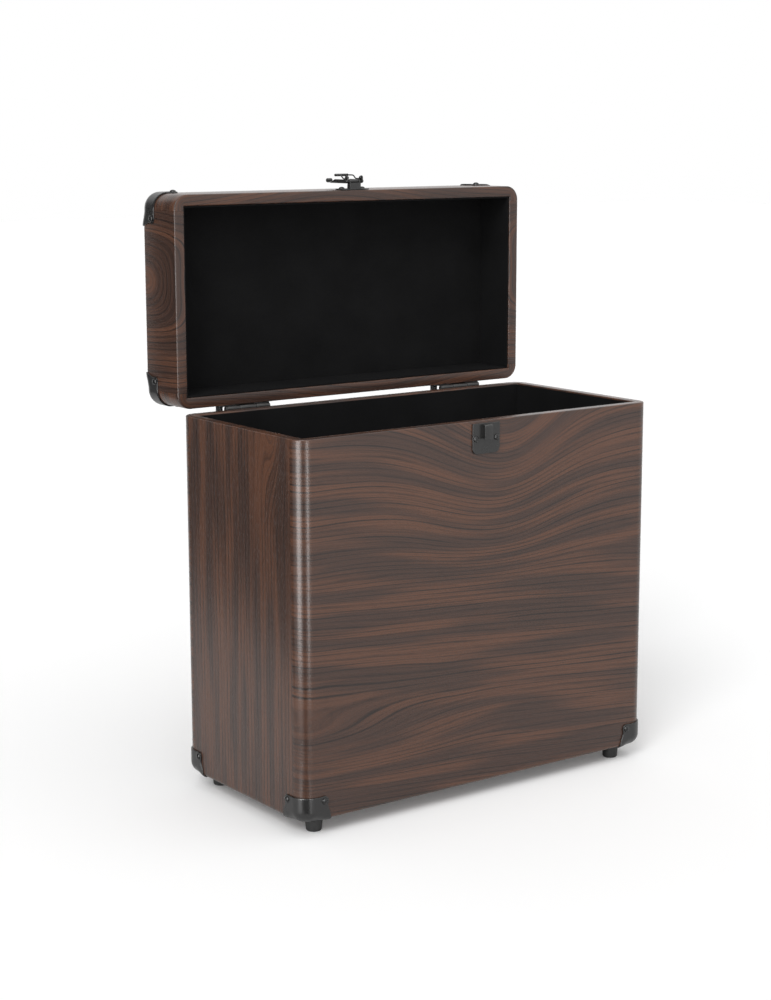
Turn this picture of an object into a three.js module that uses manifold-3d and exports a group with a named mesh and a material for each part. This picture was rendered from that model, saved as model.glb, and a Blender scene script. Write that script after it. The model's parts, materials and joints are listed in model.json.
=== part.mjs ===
// Record carrying case, standing open with its lid upright behind the body.
// Millimetres, +Z up, +Y to the back, -Y the front with the latch, standing on z = 0.

import * as THREE from 'three';
import { mergeVertices } from 'three/addons/utils/BufferGeometryUtils.js';
import Module from 'manifold-3d';

const wasm = await Module();
wasm.setup();

// Wooden case: outer size of the closed case, its boards and its rounded edges
const caseWidth = 350;
const caseDepth = 170;
const bodyHeight = 294;
const lidHeight = 50;
const wall = 9;
const cornerRadius = 12;
const edgeRadius = 3;
const ballRadius = 8;
const ballReach = 27;
const glueGap = 0.2;
const rimGap = 0.4;
const overrun = 5;

// Black lining boards, held back from the rim by the turned-in foil
const liningThickness = 1;
const foilTurnIn = 1.2;

// Stamped hardware: sheet thickness, seat on the wood and dome nails
const sheet = 1;
const seatGap = 0.25;
const nailRadius = 2.6;
const nailRise = 1.5;
const nailSink = 0.5;

// Corner protectors: reach along the long edges, rise up the wall, ear at the nail
const protectorReach = 26;
const protectorRise = 19.2;
const earRadius = 3.8;
const wallNailReach = 19.6;
const wallNailRise = 15.4;

// Rubber feet and their screws
const footHeight = 12.75;
const footTopRadius = 7.2;
const footBaseRadius = 6.2;
const footEdge = 1;
const footInsetX = 21.5;
const footInsetY = 17;
const screwHeadRadius = 3.2;
const screwHeadRise = 1.8;
const screwRadius = 1.6;
const screwBite = 6;
const screwClearance = 0.3;
const footRecessDepth = 4.2;

// Rear hinges: pin axis behind the rear face, leaves, knuckles and stop lugs
const hingeOffset = 2.8;
const hingeInset = 65;
const hingeWidth = 40;
const leafLength = 26;
const knuckleRadius = 2.3;
const hingePinRadius = 1.05;
const pinClearance = 0.1;
const knuckleGap = 0.35;
const lugWidth = 3;
const lugReach = 12;
const lugClearance = 0.3;
const hingeNailRadius = 2;

// Draw latch on the front: base plate, bracket, lever and wire claw
const latchPlateWidth = 27;
const latchPlateRise = 11.5;
const latchRimInset = 0.6;
const latchCornerRadius = 2;
const latchNailSpread = 10.3;
const bracketHalf = 5.5;
const leverAxisRise = 7.4;
const leverAxisInset = 3.1;
const clawAxisThrow = 2.8;
const earRound = 1.6;
const leverPinRadius = 0.8;
const leverPinHead = 1.4;
const leverBarrelRadius = 1.35;
const leverLength = 36.2;
const leverHalf = 8.1;
const leverHead = 1.8;
const leverTipHalf = 2.6;
const leverWebDrop = 1.8;
const tipRollRadius = 1.75;
const clawWire = 1;
const clawPinRadius = 0.7;
const clawEyeRadius = 1.3;
const clawLength = 18.2;
const clawBarRadius = 1.1;
const clawBarRise = 1.9;
const clawArmGap = 0.3;
const clawArmDip = 0.9;

// Catch plate on the body front with its hook
const catchWidth = 27;
const catchHeight = 24;
const catchDrop = 2;
const catchCornerRadius = 4.5;
const hookWidth = 10;
const hookRise = 4.7;
const hookLip = 0.6;
const hookTopDrop = 1;
const hookChamfer = 1.2;
const hookClearance = 0.35;

// Carrying handle on the lid's top panel
const handleSpan = 115.2;
const handleAxisRise = 7.25;
const handleArm = 8;
const handleGripInner = 20;
const handleGripOuter = 34;
const handleThickness = 10;
const handleBevel = 2.4;
const handleEyeRadius = 5;
const handleCorner = 9;
const handlePinRadius = 1.6;
const handleLugRadius = 4.5;
const handleSideGap = 0.4;
const handlePlateHalf = 8;
const handlePlateReach = 10.6;
const handlePlateCorner = 3;

// Whole case: the origin is the middle of the open case's footprint, on the floor
const footDrop = footHeight + seatGap;
const hingeY = caseDepth / 2 + hingeOffset;
const hingeZ = bodyHeight + rimGap / 2;
const frontReach = caseDepth / 2 + hookRise;
const rearReach = hingeY + rimGap / 2 + lidHeight + handleAxisRise + handleThickness / 2;

const foil = new THREE.Color(0.2, 0.13, 0.11);
const liningBlack = new THREE.Color(0.012, 0.012, 0.013);
const steelBlack = new THREE.Color(0.03, 0.03, 0.032);
const rubberBlack = new THREE.Color(0.02, 0.02, 0.021);
const plasticBlack = new THREE.Color(0.025, 0.025, 0.027);

const finishes = {
  foil: { color: foil, roughness: 0.5, metalness: 0 },
  lining: { color: liningBlack, roughness: 0.9, metalness: 0 },
  steel: { color: steelBlack, roughness: 0.45, metalness: 0.3 },
  rubber: { color: rubberBlack, roughness: 0.8, metalness: 0 },
  plastic: { color: plasticBlack, roughness: 0.5, metalness: 0 },
};

const recordCase = new THREE.Group();
recordCase.position.set(0, (frontReach - rearReach) / 2, footDrop);

// Everything of the lid is drawn closed, from the hinge axis, and the group opens it
const openAngle = 90;
const lid = new THREE.Group();
lid.position.set(0, hingeY, hingeZ);
lid.rotation.x = -THREE.MathUtils.degToRad(openAngle);
recordCase.add(lid);

const axisX = new THREE.Vector3(1, 0, 0);
const axisY = new THREE.Vector3(0, 1, 0);
const axisZ = new THREE.Vector3(0, 0, 1);

function solidOf(geometry) {
  const bare = geometry.clone();
  bare.deleteAttribute('normal');
  bare.deleteAttribute('uv');
  const merged = mergeVertices(bare);
  return new wasm.Manifold(new wasm.Mesh({
    numProp: 3,
    vertProperties: new Float32Array(merged.attributes.position.array),
    triVerts: new Uint32Array(merged.index.array),
  }));
}

function geometryOf(solid) {
  const { vertProperties, triVerts } = solid.getMesh();
  const geometry = new THREE.BufferGeometry();
  geometry.setAttribute('position', new THREE.BufferAttribute(vertProperties, 3));
  geometry.setIndex(new THREE.BufferAttribute(triVerts, 1));
  geometry.computeVertexNormals();
  return geometry;
}

function addPiece(group, name, solid, finish) {
  const piece = new THREE.Mesh(geometryOf(solid), new THREE.MeshStandardMaterial(finishes[finish]));
  piece.name = name;
  group.add(piece);
}

function join(solids) {
  return solids.reduce((whole, next) => whole.add(next));
}

function block([x0, x1], [y0, y1], [z0, z1]) {
  const geometry = new THREE.BoxGeometry(x1 - x0, y1 - y0, z1 - z0);
  geometry.translate((x0 + x1) / 2, (y0 + y1) / 2, (z0 + z1) / 2);
  return solidOf(geometry);
}

// A drawn outline pushed along an axis: (y, z) along X, (x, z) along Y, (x, y) along Z
function prism(shape, axis, [from, to], bevel = {}) {
  const options = { depth: to - from, bevelEnabled: false, curveSegments: 8, ...bevel };
  const geometry = new THREE.ExtrudeGeometry(shape, options);
  const across = axis === axisX ? axisY : axisX;
  const upward = axis === axisZ ? axisY : axisZ;
  const push = new THREE.Vector3().crossVectors(across, upward);
  const start = axis === axisY ? to : from;
  const place = new THREE.Matrix4().makeBasis(across, upward, push);
  place.setPosition(axis.clone().multiplyScalar(start));
  return solidOf(geometry.applyMatrix4(place));
}

function outline(points) {
  return new THREE.Shape(points.map(([u, v]) => new THREE.Vector2(u, v)));
}

// Points of an arc about (u, v), angles in degrees
function arc(u, v, radius, from, to, steps = 6) {
  return Array.from({ length: steps + 1 }, (_, i) => {
    const angle = THREE.MathUtils.degToRad(from + (to - from) * i / steps);
    return [u + radius * Math.cos(angle), v + radius * Math.sin(angle)];
  });
}

function rod(axis, [x, y, z], radius, [from, to], sides = 16) {
  const geometry = new THREE.CylinderGeometry(radius, radius, to - from, sides);
  const turn = new THREE.Quaternion().setFromUnitVectors(axisY, axis);
  geometry.applyQuaternion(turn);
  const centre = axis.clone().multiplyScalar((from + to) / 2).add(new THREE.Vector3(x, y, z));
  geometry.translate(centre.x, centre.y, centre.z);
  return solidOf(geometry);
}

// Dome head of a nail, standing out of a sheet along its normal
function nail([x, y, z], normal, radius = nailRadius, rise = nailRise) {
  const edgeShare = 0.25;
  const shoulderShare = 0.72;
  const profile = [
    new THREE.Vector2(0, -nailSink),
    new THREE.Vector2(radius, -nailSink),
    new THREE.Vector2(radius, rise * edgeShare),
    new THREE.Vector2(radius * shoulderShare, rise * shoulderShare),
    new THREE.Vector2(0, rise),
  ];
  const geometry = new THREE.LatheGeometry(profile, 10);
  geometry.applyQuaternion(new THREE.Quaternion().setFromUnitVectors(axisY, normal));
  geometry.translate(x, y, z);
  return solidOf(geometry);
}

// Walls of the case in plan, with each point's distance to the nearest corner
function plan(grow) {
  const arcSteps = 6;
  const easeShares = [1, 0.72, 0.44, 0.2];
  const halfWidth = caseWidth / 2 + grow;
  const halfDepth = caseDepth / 2 + grow;
  const radius = cornerRadius + grow;
  const points = [];
  [[1, -1], [1, 1], [-1, 1], [-1, -1]].forEach(([sideX, sideY], corner) => {
    const heading = THREE.MathUtils.degToRad(-90 + 90 * corner);
    const cornerPoint = new THREE.Vector2(sideX * halfWidth, sideY * halfDepth);
    const arrive = new THREE.Vector2(-Math.sin(heading), Math.cos(heading));
    const leave = new THREE.Vector2(-Math.cos(heading), -Math.sin(heading));
    const centre = new THREE.Vector2(sideX * (halfWidth - radius), sideY * (halfDepth - radius));
    const ease = (share) => cornerRadius + (ballReach - cornerRadius) * share;
    easeShares.forEach((share) => {
      const at = cornerPoint.clone().addScaledVector(arrive, -ease(share) - grow);
      points.push({ at, normal: new THREE.Vector2(Math.cos(heading), Math.sin(heading)), share });
    });
    for (let i = 0; i <= arcSteps; i += 1) {
      const angle = heading + Math.PI / 2 * i / arcSteps;
      const normal = new THREE.Vector2(Math.cos(angle), Math.sin(angle));
      points.push({ at: centre.clone().addScaledVector(normal, radius), normal, share: 0 });
    }
    easeShares.slice().reverse().forEach((share) => {
      const at = cornerPoint.clone().addScaledVector(leave, ease(share) + grow);
      const normal = new THREE.Vector2(-Math.sin(heading), Math.cos(heading));
      points.push({ at, normal, share });
    });
  });
  return points;
}

// Outer form of the body or lid: straight walls, and one end whose edge is rounded,
// a little along the straight sides and like a ball at the corners
function envelope(endZ, openZ, grow) {
  const roundSteps = 4;
  const up = Math.sign(openZ - endZ);
  const ring = plan(grow);
  const count = ring.length;
  const vertices = [];
  ring.forEach(({ at }) => vertices.push(at.x, at.y, openZ));
  for (let row = 0; row <= roundSteps; row += 1) {
    const angle = Math.PI / 2 * row / roundSteps;
    ring.forEach(({ at, normal, share }) => {
      const smooth = share * share * (3 - 2 * share);
      const radius = ballRadius + (edgeRadius - ballRadius) * smooth + grow;
      const inset = radius * (1 - Math.cos(angle));
      const z = endZ + up * (radius * (1 - Math.sin(angle)) - grow);
      vertices.push(at.x - normal.x * inset, at.y - normal.y * inset, z);
    });
  }
  const openCentre = vertices.push(0, 0, openZ) / 3 - 1;
  const endCentre = vertices.push(0, 0, endZ - up * grow) / 3 - 1;
  const faces = [];
  for (let row = 0; row <= roundSteps; row += 1) {
    for (let i = 0; i < count; i += 1) {
      const next = (i + 1) % count;
      const [a, b] = [row * count + i, row * count + next];
      faces.push([a, a + count, b + count], [a, b + count, b]);
    }
  }
  for (let i = 0; i < count; i += 1) {
    const next = (i + 1) % count;
    const last = (roundSteps + 1) * count;
    faces.push([openCentre, i, next], [endCentre, last + next, last + i]);
  }
  const geometry = new THREE.BufferGeometry();
  geometry.setAttribute('position', new THREE.Float32BufferAttribute(vertices, 3));
  geometry.setIndex((up > 0 ? faces : faces.map(([a, b, c]) => [a, c, b])).flat());
  return solidOf(geometry);
}

// One half of the case, drawn about its own middle: endZ is the floor or roof side
const innerX = caseWidth / 2 - wall;
const innerY = caseDepth / 2 - wall;
const body = { group: recordCase, prefix: 'body', endZ: 0, openZ: bodyHeight, y: 0 };
const lidRim = rimGap / 2;
const lidShell = {
  group: lid, prefix: 'lid', endZ: lidRim + lidHeight, openZ: lidRim, y: -hingeY,
};

function addShell({ group, prefix, endZ, openZ, y }, endName) {
  const up = Math.sign(openZ - endZ);
  const span = [Math.min(endZ, openZ) - overrun, Math.max(endZ, openZ) + overrun];
  const cavity = block([-innerX, innerX], [-innerY, innerY], span);
  const walls = envelope(endZ, openZ, 0).subtract(cavity);
  const mitre = glueGap / 2;
  const depth = wall + overrun;
  const cheek = (half, across) => [
    [-half - overrun + mitre, -across - overrun],
    [half + overrun - mitre, -across - overrun],
    [half - depth - mitre, -across + depth],
    [-half + depth + mitre, -across + depth],
  ];
  const longCut = cheek(caseWidth / 2, caseDepth / 2);
  const shortCut = cheek(caseDepth / 2, caseWidth / 2);
  const cuts = {
    front: longCut,
    rear: longCut.map(([u, v]) => [-u, -v]),
    left: shortCut.map(([u, v]) => [v, -u]),
    right: shortCut.map(([u, v]) => [-v, u]),
  };
  Object.entries(cuts).forEach(([side, points]) => {
    const panel = walls.intersect(prism(outline(points), axisZ, span));
    addPiece(group, `${prefix}_${side}_panel`, panel.translate([0, y, 0]), 'foil');
  });

  // End panel between the walls, with the foot screws' pilot holes in the body's floor
  const endSpan = [endZ, endZ + up * wall].sort((a, b) => a - b);
  const endX = innerX - glueGap;
  const endY = innerY - glueGap;
  let endPanel = block([-endX, endX], [-endY, endY], endSpan);
  if (prefix === 'body') {
    const reach = screwBite + screwClearance;
    footPlaces.forEach(({ x, y: footY }) => {
      const hole = rod(axisZ, [x, footY, 0], screwRadius + screwClearance, [-overrun, reach]);
      endPanel = endPanel.subtract(hole);
    });
  }
  addPiece(group, `${prefix}_${endName}_panel`, endPanel.translate([0, y, 0]), 'foil');

  // Lining: an end board, long boards over the front and rear, short ones between them
  const lineX = innerX - glueGap;
  const lineY = innerY - glueGap;
  const floor = endZ + up * (wall + glueGap);
  const boardFoot = floor + up * (liningThickness + glueGap);
  const boardTop = openZ - up * foilTurnIn;
  const heights = [boardFoot, boardTop].sort((a, b) => a - b);
  const endHeights = [floor, floor + up * liningThickness].sort((a, b) => a - b);
  const shortY = lineY - liningThickness - glueGap;
  const boards = {
    [endName]: [[-lineX, lineX], [-lineY, lineY], endHeights],
    front: [[-lineX, lineX], [-lineY, -lineY + liningThickness], heights],
    rear: [[-lineX, lineX], [lineY - liningThickness, lineY], heights],
    left: [[-lineX, -lineX + liningThickness], [-shortY, shortY], heights],
    right: [[lineX - liningThickness, lineX], [-shortY, shortY], heights],
  };
  Object.entries(boards).forEach(([side, spans]) => {
    const board = block(...spans).translate([0, y, 0]);
    addPiece(group, `${prefix}_${side}_lining`, board, 'lining');
  });
}

const corners = {
  front_left: [-1, -1],
  front_right: [1, -1],
  rear_left: [-1, 1],
  rear_right: [1, 1],
};
const footPlaces = Object.entries(corners).map(([name, [sideX, sideY]]) => ({
  name,
  x: sideX * (caseWidth / 2 - footInsetX),
  y: sideY * (caseDepth / 2 - footInsetY),
}));

addShell(body, 'bottom');
addShell(lidShell, 'top');

// Outline of a protector's wall plate from the corner of the case: a flare at the edge
// of the box, a waist, the ear round the nail and a straight cut
const foldShare = 0.4;
const foldLevel = edgeRadius * foldShare;

function wallPlateOutline(reach, rise, nailAt, nailUp) {
  const flareShares = [[0.977, 0.15], [0.93, 0.39], [0.87, 0.58]];
  const cutShares = [[0.56, 0.985], [0.4, 1]];
  return [
    [-overrun, foldLevel],
    [reach, foldLevel],
    ...flareShares.map(([u, v]) => [u * reach, v * rise]),
    ...arc(nailAt, nailUp, earRadius, -20, 105),
    ...cutShares.map(([u, v]) => [u * reach, v * rise]),
    [-overrun, rise],
  ];
}

// The end plate is a triangle with a hollow long side, which leaves room for the foot
function endPlateOutline(reach) {
  const hollowShares = [[1, 0.13], [0.84, 0.18], [0.66, 0.28], [0.48, 0.42]];
  return [
    [-overrun, -overrun],
    [reach, -overrun],
    ...hollowShares.map(([u, v]) => [u * reach, v * reach]),
    ...hollowShares.slice().reverse().map(([u, v]) => [v * reach, u * reach]),
    [-overrun, reach],
  ];
}

// Corner protectors: thin sheet over each corner of the body's floor and lid's roof
function addProtectors({ group, prefix, endZ, openZ, y }) {
  const up = Math.sign(openZ - endZ);
  const outer = envelope(endZ, openZ, seatGap + sheet);
  const skin = outer.subtract(envelope(endZ, openZ, seatGap));
  const inner = cornerRadius + overrun;
  const proud = seatGap + sheet;
  Object.entries(corners).forEach(([name, [sideX, sideY]]) => {
    const cornerX = sideX * caseWidth / 2;
    const cornerY = sideY * caseDepth / 2;
    const fromX = (u) => cornerX - sideX * u;
    const fromY = (u) => cornerY - sideY * u;
    const fromEnd = (v) => endZ + up * v;
    const span = (place, a, b) => [place(a), place(b)].sort((p, q) => p - q);
    const wallPlate = wallPlateOutline(
      protectorReach, protectorRise, wallNailReach, wallNailRise);
    const frontPlate = wallPlate.map(([u, v]) => [fromX(u), fromEnd(v)]);
    const sidePlate = wallPlate.map(([u, v]) => [fromY(u), fromEnd(v)]);
    const endPlate = endPlateOutline(protectorReach);
    const regions = join([
      prism(outline(frontPlate), axisY, span(fromY, -overrun, inner)),
      prism(outline(sidePlate), axisX, span(fromX, -overrun, inner)),
      prism(outline(endPlate.map(([u, v]) => [fromX(u), fromY(v)])), axisZ,
        span(fromEnd, -overrun, foldLevel + seatGap)),
    ]);
    let plate = skin.intersect(regions);
    plate = plate.add(nail([fromX(wallNailReach), fromY(-proud), fromEnd(wallNailRise)],
      new THREE.Vector3(0, sideY, 0)));
    plate = plate.add(nail([fromX(-proud), fromY(wallNailReach), fromEnd(wallNailRise)],
      new THREE.Vector3(sideX, 0, 0)));
    addPiece(group, `${prefix}_corner_${name}`, plate.translate([0, y, 0]), 'steel');
  });
}

addProtectors(body);
addProtectors(lidShell);

// Rubber feet, each a tapered bumper screwed up into the floor of the body
footPlaces.forEach(({ name, x, y }) => {
  const top = -seatGap;
  const base = -footDrop;
  const bore = screwRadius + screwClearance;
  const recess = screwHeadRadius + screwClearance;
  const recessTop = base + footRecessDepth;
  const profile = [
    [bore, top],
    [bore, recessTop],
    [recess, recessTop],
    [recess, base],
    [footBaseRadius - footEdge, base],
    [footBaseRadius, base + footEdge],
    [footTopRadius, top - footEdge],
    [footTopRadius - footEdge / 2, top],
    [bore, top],
  ].map(([r, z]) => new THREE.Vector2(r, z));
  const foot = new THREE.LatheGeometry(profile, 20);
  foot.applyQuaternion(new THREE.Quaternion().setFromUnitVectors(axisY, axisZ));
  foot.translate(x, y, 0);
  addPiece(recordCase, `foot_${name}`, solidOf(foot), 'rubber');

  const headTop = recessTop - screwClearance;
  const head = rod(axisZ, [x, y, 0], screwHeadRadius, [headTop - screwHeadRise, headTop], 14);
  const shank = rod(axisZ, [x, y, 0], screwRadius, [headTop - screwHeadRise / 2, screwBite], 10);
  addPiece(recordCase, `foot_screw_${name}`, head.add(shank), 'steel');
});

// Rear hinges, drawn in the hinge's own frame: y back from the pin, z up from the pin
const hingeSpread = caseWidth / 2 - hingeInset;
const hinges = { left: -hingeSpread, right: hingeSpread };
const leafFace = -hingeOffset + seatGap;
const leafSpan = [leafFace, leafFace + sheet];
const knuckleShare = 0.3;
const knuckleWidth = hingeWidth * knuckleShare;
const outerKnuckles = [
  [-hingeWidth / 2, -hingeWidth / 2 + knuckleWidth],
  [hingeWidth / 2 - knuckleWidth, hingeWidth / 2],
];
const middleKnuckle = [[
  -hingeWidth / 2 + knuckleWidth + knuckleGap,
  hingeWidth / 2 - knuckleWidth - knuckleGap,
]];
const knuckleClear = knuckleRadius + lugClearance;
const lugOuter = hingeWidth / 2 + lugWidth;
const lugInner = hingeWidth / 2;
const leafHalf = lugOuter;

function leaf(up, knuckles) {
  const plateZ = [up * knuckleClear, up * leafLength].sort((a, b) => a - b);
  const plate = block([-leafHalf, leafHalf], leafSpan, plateZ);
  const nails = [-1, 1].map((side) => nail(
    [side * hingeWidth / 3, leafSpan[1], up * leafLength * 2 / 3], axisY, hingeNailRadius, nailRise));
  const rolled = knuckles.map(([from, to]) => {
    const tab = [0, up * (knuckleClear + sheet)].sort((a, b) => a - b);
    return block([from, to], leafSpan, tab).add(rod(axisX, [0, 0, 0], knuckleRadius, [from, to]));
  });
  const bore = rod(axisX, [0, 0, 0], hingePinRadius + pinClearance,
    [-hingeWidth / 2 - overrun, hingeWidth / 2 + overrun]);
  return join([plate, ...nails, ...rolled]).subtract(bore);
}

// Bent lug at each end of a body leaf, on which the open lid's leaf comes to rest
function stopLug([from, to]) {
  const landing = -leafSpan[1] - lugClearance;
  const footShare = 0.75;
  const throatShare = 0.3;
  const points = [
    [leafSpan[0], -leafLength * footShare],
    [leafSpan[1], -leafLength * footShare],
    [lugReach, -knuckleClear],
    [lugReach, landing],
    [knuckleClear + lugWidth, landing],
    [knuckleClear + lugWidth, -knuckleClear],
    [leafSpan[1], -leafLength * throatShare],
    [leafSpan[0], -leafLength * throatShare],
  ];
  return prism(outline(points), axisX, [from, to]);
}

Object.entries(hinges).forEach(([side, x]) => {
  const lugs = [[lugInner, lugOuter], [-lugOuter, -lugInner]].map(stopLug);
  const bodyLeaf = join([leaf(-1, outerKnuckles), ...lugs]);
  addPiece(recordCase, `hinge_body_leaf_${side}`, bodyLeaf.translate([x, hingeY, hingeZ]), 'steel');
  addPiece(lid, `hinge_lid_leaf_${side}`, leaf(1, middleKnuckle).translate([x, 0, 0]), 'steel');
  const pin = rod(axisX, [0, 0, 0], hingePinRadius, [-hingeWidth / 2, hingeWidth / 2]);
  const caps = [-1, 1].map((end) => rod(axisX, [0, 0, 0], knuckleRadius,
    [end * (hingeWidth / 2 + pinClearance), end * (hingeWidth / 2 + pinClearance + sheet)]
      .sort((a, b) => a - b)));
  const neck = rod(axisX, [0, 0, 0], hingePinRadius,
    [-hingeWidth / 2 - sheet, hingeWidth / 2 + sheet]);
  addPiece(recordCase, `hinge_pin_${side}`,
    join([pin, neck, ...caps]).translate([x, hingeY, hingeZ]), 'steel');
});

// Latch, drawn on the closed lid's front face: height h stands out of the wood
const latchFrontY = -hingeY - caseDepth / 2;
const outY = (h) => latchFrontY - h;
const leverAxisZ = lidRim + leverAxisInset;
const leverAxisY = outY(leverAxisRise);

// Drawn opened back on the lid: s runs up the lid from the lever's axis, h out of it
const onLever = (points) => points.map(([s, h]) => [leverAxisY - h, leverAxisZ + s]);

const latchPlateZ = [lidRim + latchRimInset, lidRim + latchRimInset + latchPlateRise];
const latchHalf = latchPlateWidth / 2;
const latchPlate = outline([
  [-latchHalf, latchPlateZ[0]],
  [latchHalf, latchPlateZ[0]],
  ...arc(latchHalf - latchCornerRadius, latchPlateZ[1] - latchCornerRadius,
    latchCornerRadius, 0, 90, 3),
  ...arc(-latchHalf + latchCornerRadius, latchPlateZ[1] - latchCornerRadius,
    latchCornerRadius, 90, 180, 3),
]);
const plateOut = [outY(seatGap + sheet), outY(seatGap)];
const bracketFoot = leverAxisRise - seatGap - sheet / 2;
const earReach = leverAxisInset - latchRimInset - clawArmGap;
const bracketEar = onLever([
  [-earReach, -bracketFoot],
  [earReach, -bracketFoot],
  ...arc(0, 0, earRound, 0, 180, 8),
  [-earReach, -earRound],
]);
const bracketFace = onLever([
  [-earReach, -bracketFoot],
  [-earReach + sheet, -bracketFoot],
  [-earReach + sheet, -sheet],
  [-earReach, -sheet],
]);
const bracketEars = [[-bracketHalf, -bracketHalf + sheet], [bracketHalf - sheet, bracketHalf]];
const leverAxis = [0, leverAxisY, leverAxisZ];
const latchBase = join([
  prism(latchPlate, axisY, plateOut),
  ...bracketEars.map((span) => prism(outline(bracketEar), axisX, span)),
  prism(outline(bracketFace), axisX, [-bracketHalf, bracketHalf]),
  ...[-1, 1].map((side) => nail(
    [side * latchNailSpread, plateOut[0], (latchPlateZ[0] + latchPlateZ[1]) / 2],
    new THREE.Vector3(0, -1, 0), hingeNailRadius, nailRise)),
]).subtract(rod(axisX, leverAxis, leverPinRadius + pinClearance, [-bracketHalf, bracketHalf]));
addPiece(lid, 'latch_base', latchBase, 'steel');

// Lever: a web with two cheeks that hang on the pin, and a narrow neck with a rolled tip
const cheekInner = leverHalf - sheet;
const webTop = -leverWebDrop + sheet;
const cheekRise = clawAxisThrow - clawArmDip;
const cheekEndShare = 0.6;
const cheekSlopeShare = 0.46;
const leverCheek = onLever([
  [0, -leverWebDrop],
  [leverLength * cheekEndShare, -leverWebDrop],
  [leverLength * cheekEndShare, webTop],
  [leverLength * cheekSlopeShare, cheekRise - sheet / 2],
  [leverHead * 2, cheekRise - sheet / 2],
  [leverHead, cheekRise],
  ...arc(0, clawAxisThrow, leverHead, 0, 180, 8),
  ...arc(0, 0, leverHead, 180, 270, 4),
]);
const webStart = leverHead * 2 + 2 * pinClearance + sheet / 2;
const webShoulderShare = 0.62;
const webNeckShare = 0.82;
const leverWeb = [
  [leverHalf, webStart],
  [leverHalf, leverLength * webShoulderShare],
  [leverTipHalf, leverLength * webNeckShare],
  [leverTipHalf, leverLength],
  [-leverTipHalf, leverLength],
  [-leverTipHalf, leverLength * webNeckShare],
  [-leverHalf, leverLength * webShoulderShare],
  [-leverHalf, webStart],
].map(([x, s]) => [x, leverAxisZ + s]);
const webOut = [leverAxisY - webTop, leverAxisY + leverWebDrop];
const rollAxisH = -leverWebDrop + tipRollRadius;
const rollAxis = [0, leverAxisY - rollAxisH, leverAxisZ + leverLength];
const clawAxis = [0, leverAxisY - clawAxisThrow, leverAxisZ];
const leverCheeks = [[-leverHalf, -cheekInner], [cheekInner, leverHalf]];
const lever = join([
  ...leverCheeks.map((span) => prism(outline(leverCheek), axisX, span)),
  prism(outline(leverWeb), axisY, webOut),
  rod(axisX, rollAxis, tipRollRadius, [-leverTipHalf, leverTipHalf]),
])
  .subtract(rod(axisX, leverAxis, leverPinRadius + pinClearance, [-leverHalf, leverHalf]))
  .subtract(rod(axisX, clawAxis, clawPinRadius + pinClearance, [-leverHalf, leverHalf]));
addPiece(lid, 'latch_lever', lever, 'steel');

const leverPinEnd = leverHalf + clawArmGap;
const barrelEnd = bracketHalf - sheet - clawArmGap;
const leverPin = join([
  rod(axisX, leverAxis, leverPinRadius, [-leverPinEnd, leverPinEnd]),
  rod(axisX, leverAxis, leverBarrelRadius, [-barrelEnd, barrelEnd]),
  rod(axisX, leverAxis, leverPinHead, [leverPinEnd - clawArmGap / 2, leverPinEnd + sheet / 2]),
  rod(axisX, leverAxis, leverPinHead, [-leverPinEnd - sheet / 2, -leverPinEnd + clawArmGap / 2]),
]);
addPiece(lid, 'latch_lever_pin', leverPin, 'steel');

// Claw: two waved arms with trunnions in the lever's cheeks and a cross bar
const clawInner = bracketHalf + clawArmGap;
const clawOuter = clawInner + clawWire;
const barH = clawAxisThrow + clawBarRise;
const armHalf = clawWire * 0.6;
const waveShares = [[0.16, -1], [0.34, -1], [0.56, 1], [1, 1]];
const waveLevel = (share) => (share > 0 ? barH : clawAxisThrow - clawArmDip);
const armUpper = waveShares.map(([s, level]) => [s * clawLength, waveLevel(level) + armHalf]);
const armLower = waveShares.map(([s, level]) => [s * clawLength, waveLevel(level) - armHalf]);
const clawArm = onLever([
  [0, clawAxisThrow - armHalf],
  ...armLower,
  ...armUpper.reverse(),
  [0, clawAxisThrow + armHalf],
]);
const barAxis = [0, leverAxisY - barH, leverAxisZ + clawLength];
const trunnionEnd = leverHalf + clawArmGap;
const clawSides = [[clawInner, clawOuter, trunnionEnd], [-clawOuter, -clawInner, -trunnionEnd]];
const claw = join([
  rod(axisX, barAxis, clawBarRadius, [-clawOuter, clawOuter]),
  ...clawSides.flatMap(([from, to, end]) => [
    prism(outline(clawArm), axisX, [from, to]),
    rod(axisX, clawAxis, clawEyeRadius, [from, to]),
    rod(axisX, clawAxis, clawPinRadius, [(from + to) / 2, end].sort((a, b) => a - b)),
  ]),
]);
addPiece(lid, 'latch_claw', claw, 'steel');

// Catch: plate on the body front whose hook holds the claw's bar from above
const catchTop = bodyHeight - catchDrop;
const catchBottom = catchTop - catchHeight;
const catchHalf = catchWidth / 2;
const catchFront = -caseDepth / 2;
const catchShape = outline([
  [catchHalf, catchTop],
  [-catchHalf, catchTop],
  ...arc(-catchHalf + catchCornerRadius, catchBottom + catchCornerRadius,
    catchCornerRadius, 180, 270, 4),
  ...arc(catchHalf - catchCornerRadius, catchBottom + catchCornerRadius,
    catchCornerRadius, 270, 360, 4),
]);
const closedAxisZ = bodyHeight + rimGap + leverAxisInset;
const closedBarH = leverAxisRise - barH;
const closedBarZ = closedAxisZ - clawLength;
const hookTop = catchTop - hookTopDrop;
const hookInner = closedBarH + clawBarRadius + clawArmGap;
const hookRoof = closedBarZ + clawBarRadius + hookClearance;
const hookShape = outline([
  [seatGap + sheet / 2, hookTop],
  [seatGap + sheet / 2, hookRoof],
  [hookInner, hookRoof],
  [hookInner, closedBarZ],
  [hookInner + hookLip, closedBarZ],
  [hookRise, closedBarZ + hookLip],
  [hookRise, hookTop - hookChamfer],
  [hookRise - hookChamfer, hookTop],
].map(([h, z]) => [catchFront - h, z]));
const catchMiddle = (catchTop + catchBottom) / 2;
const catchPlateY = [catchFront - seatGap - sheet, catchFront - seatGap];
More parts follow.
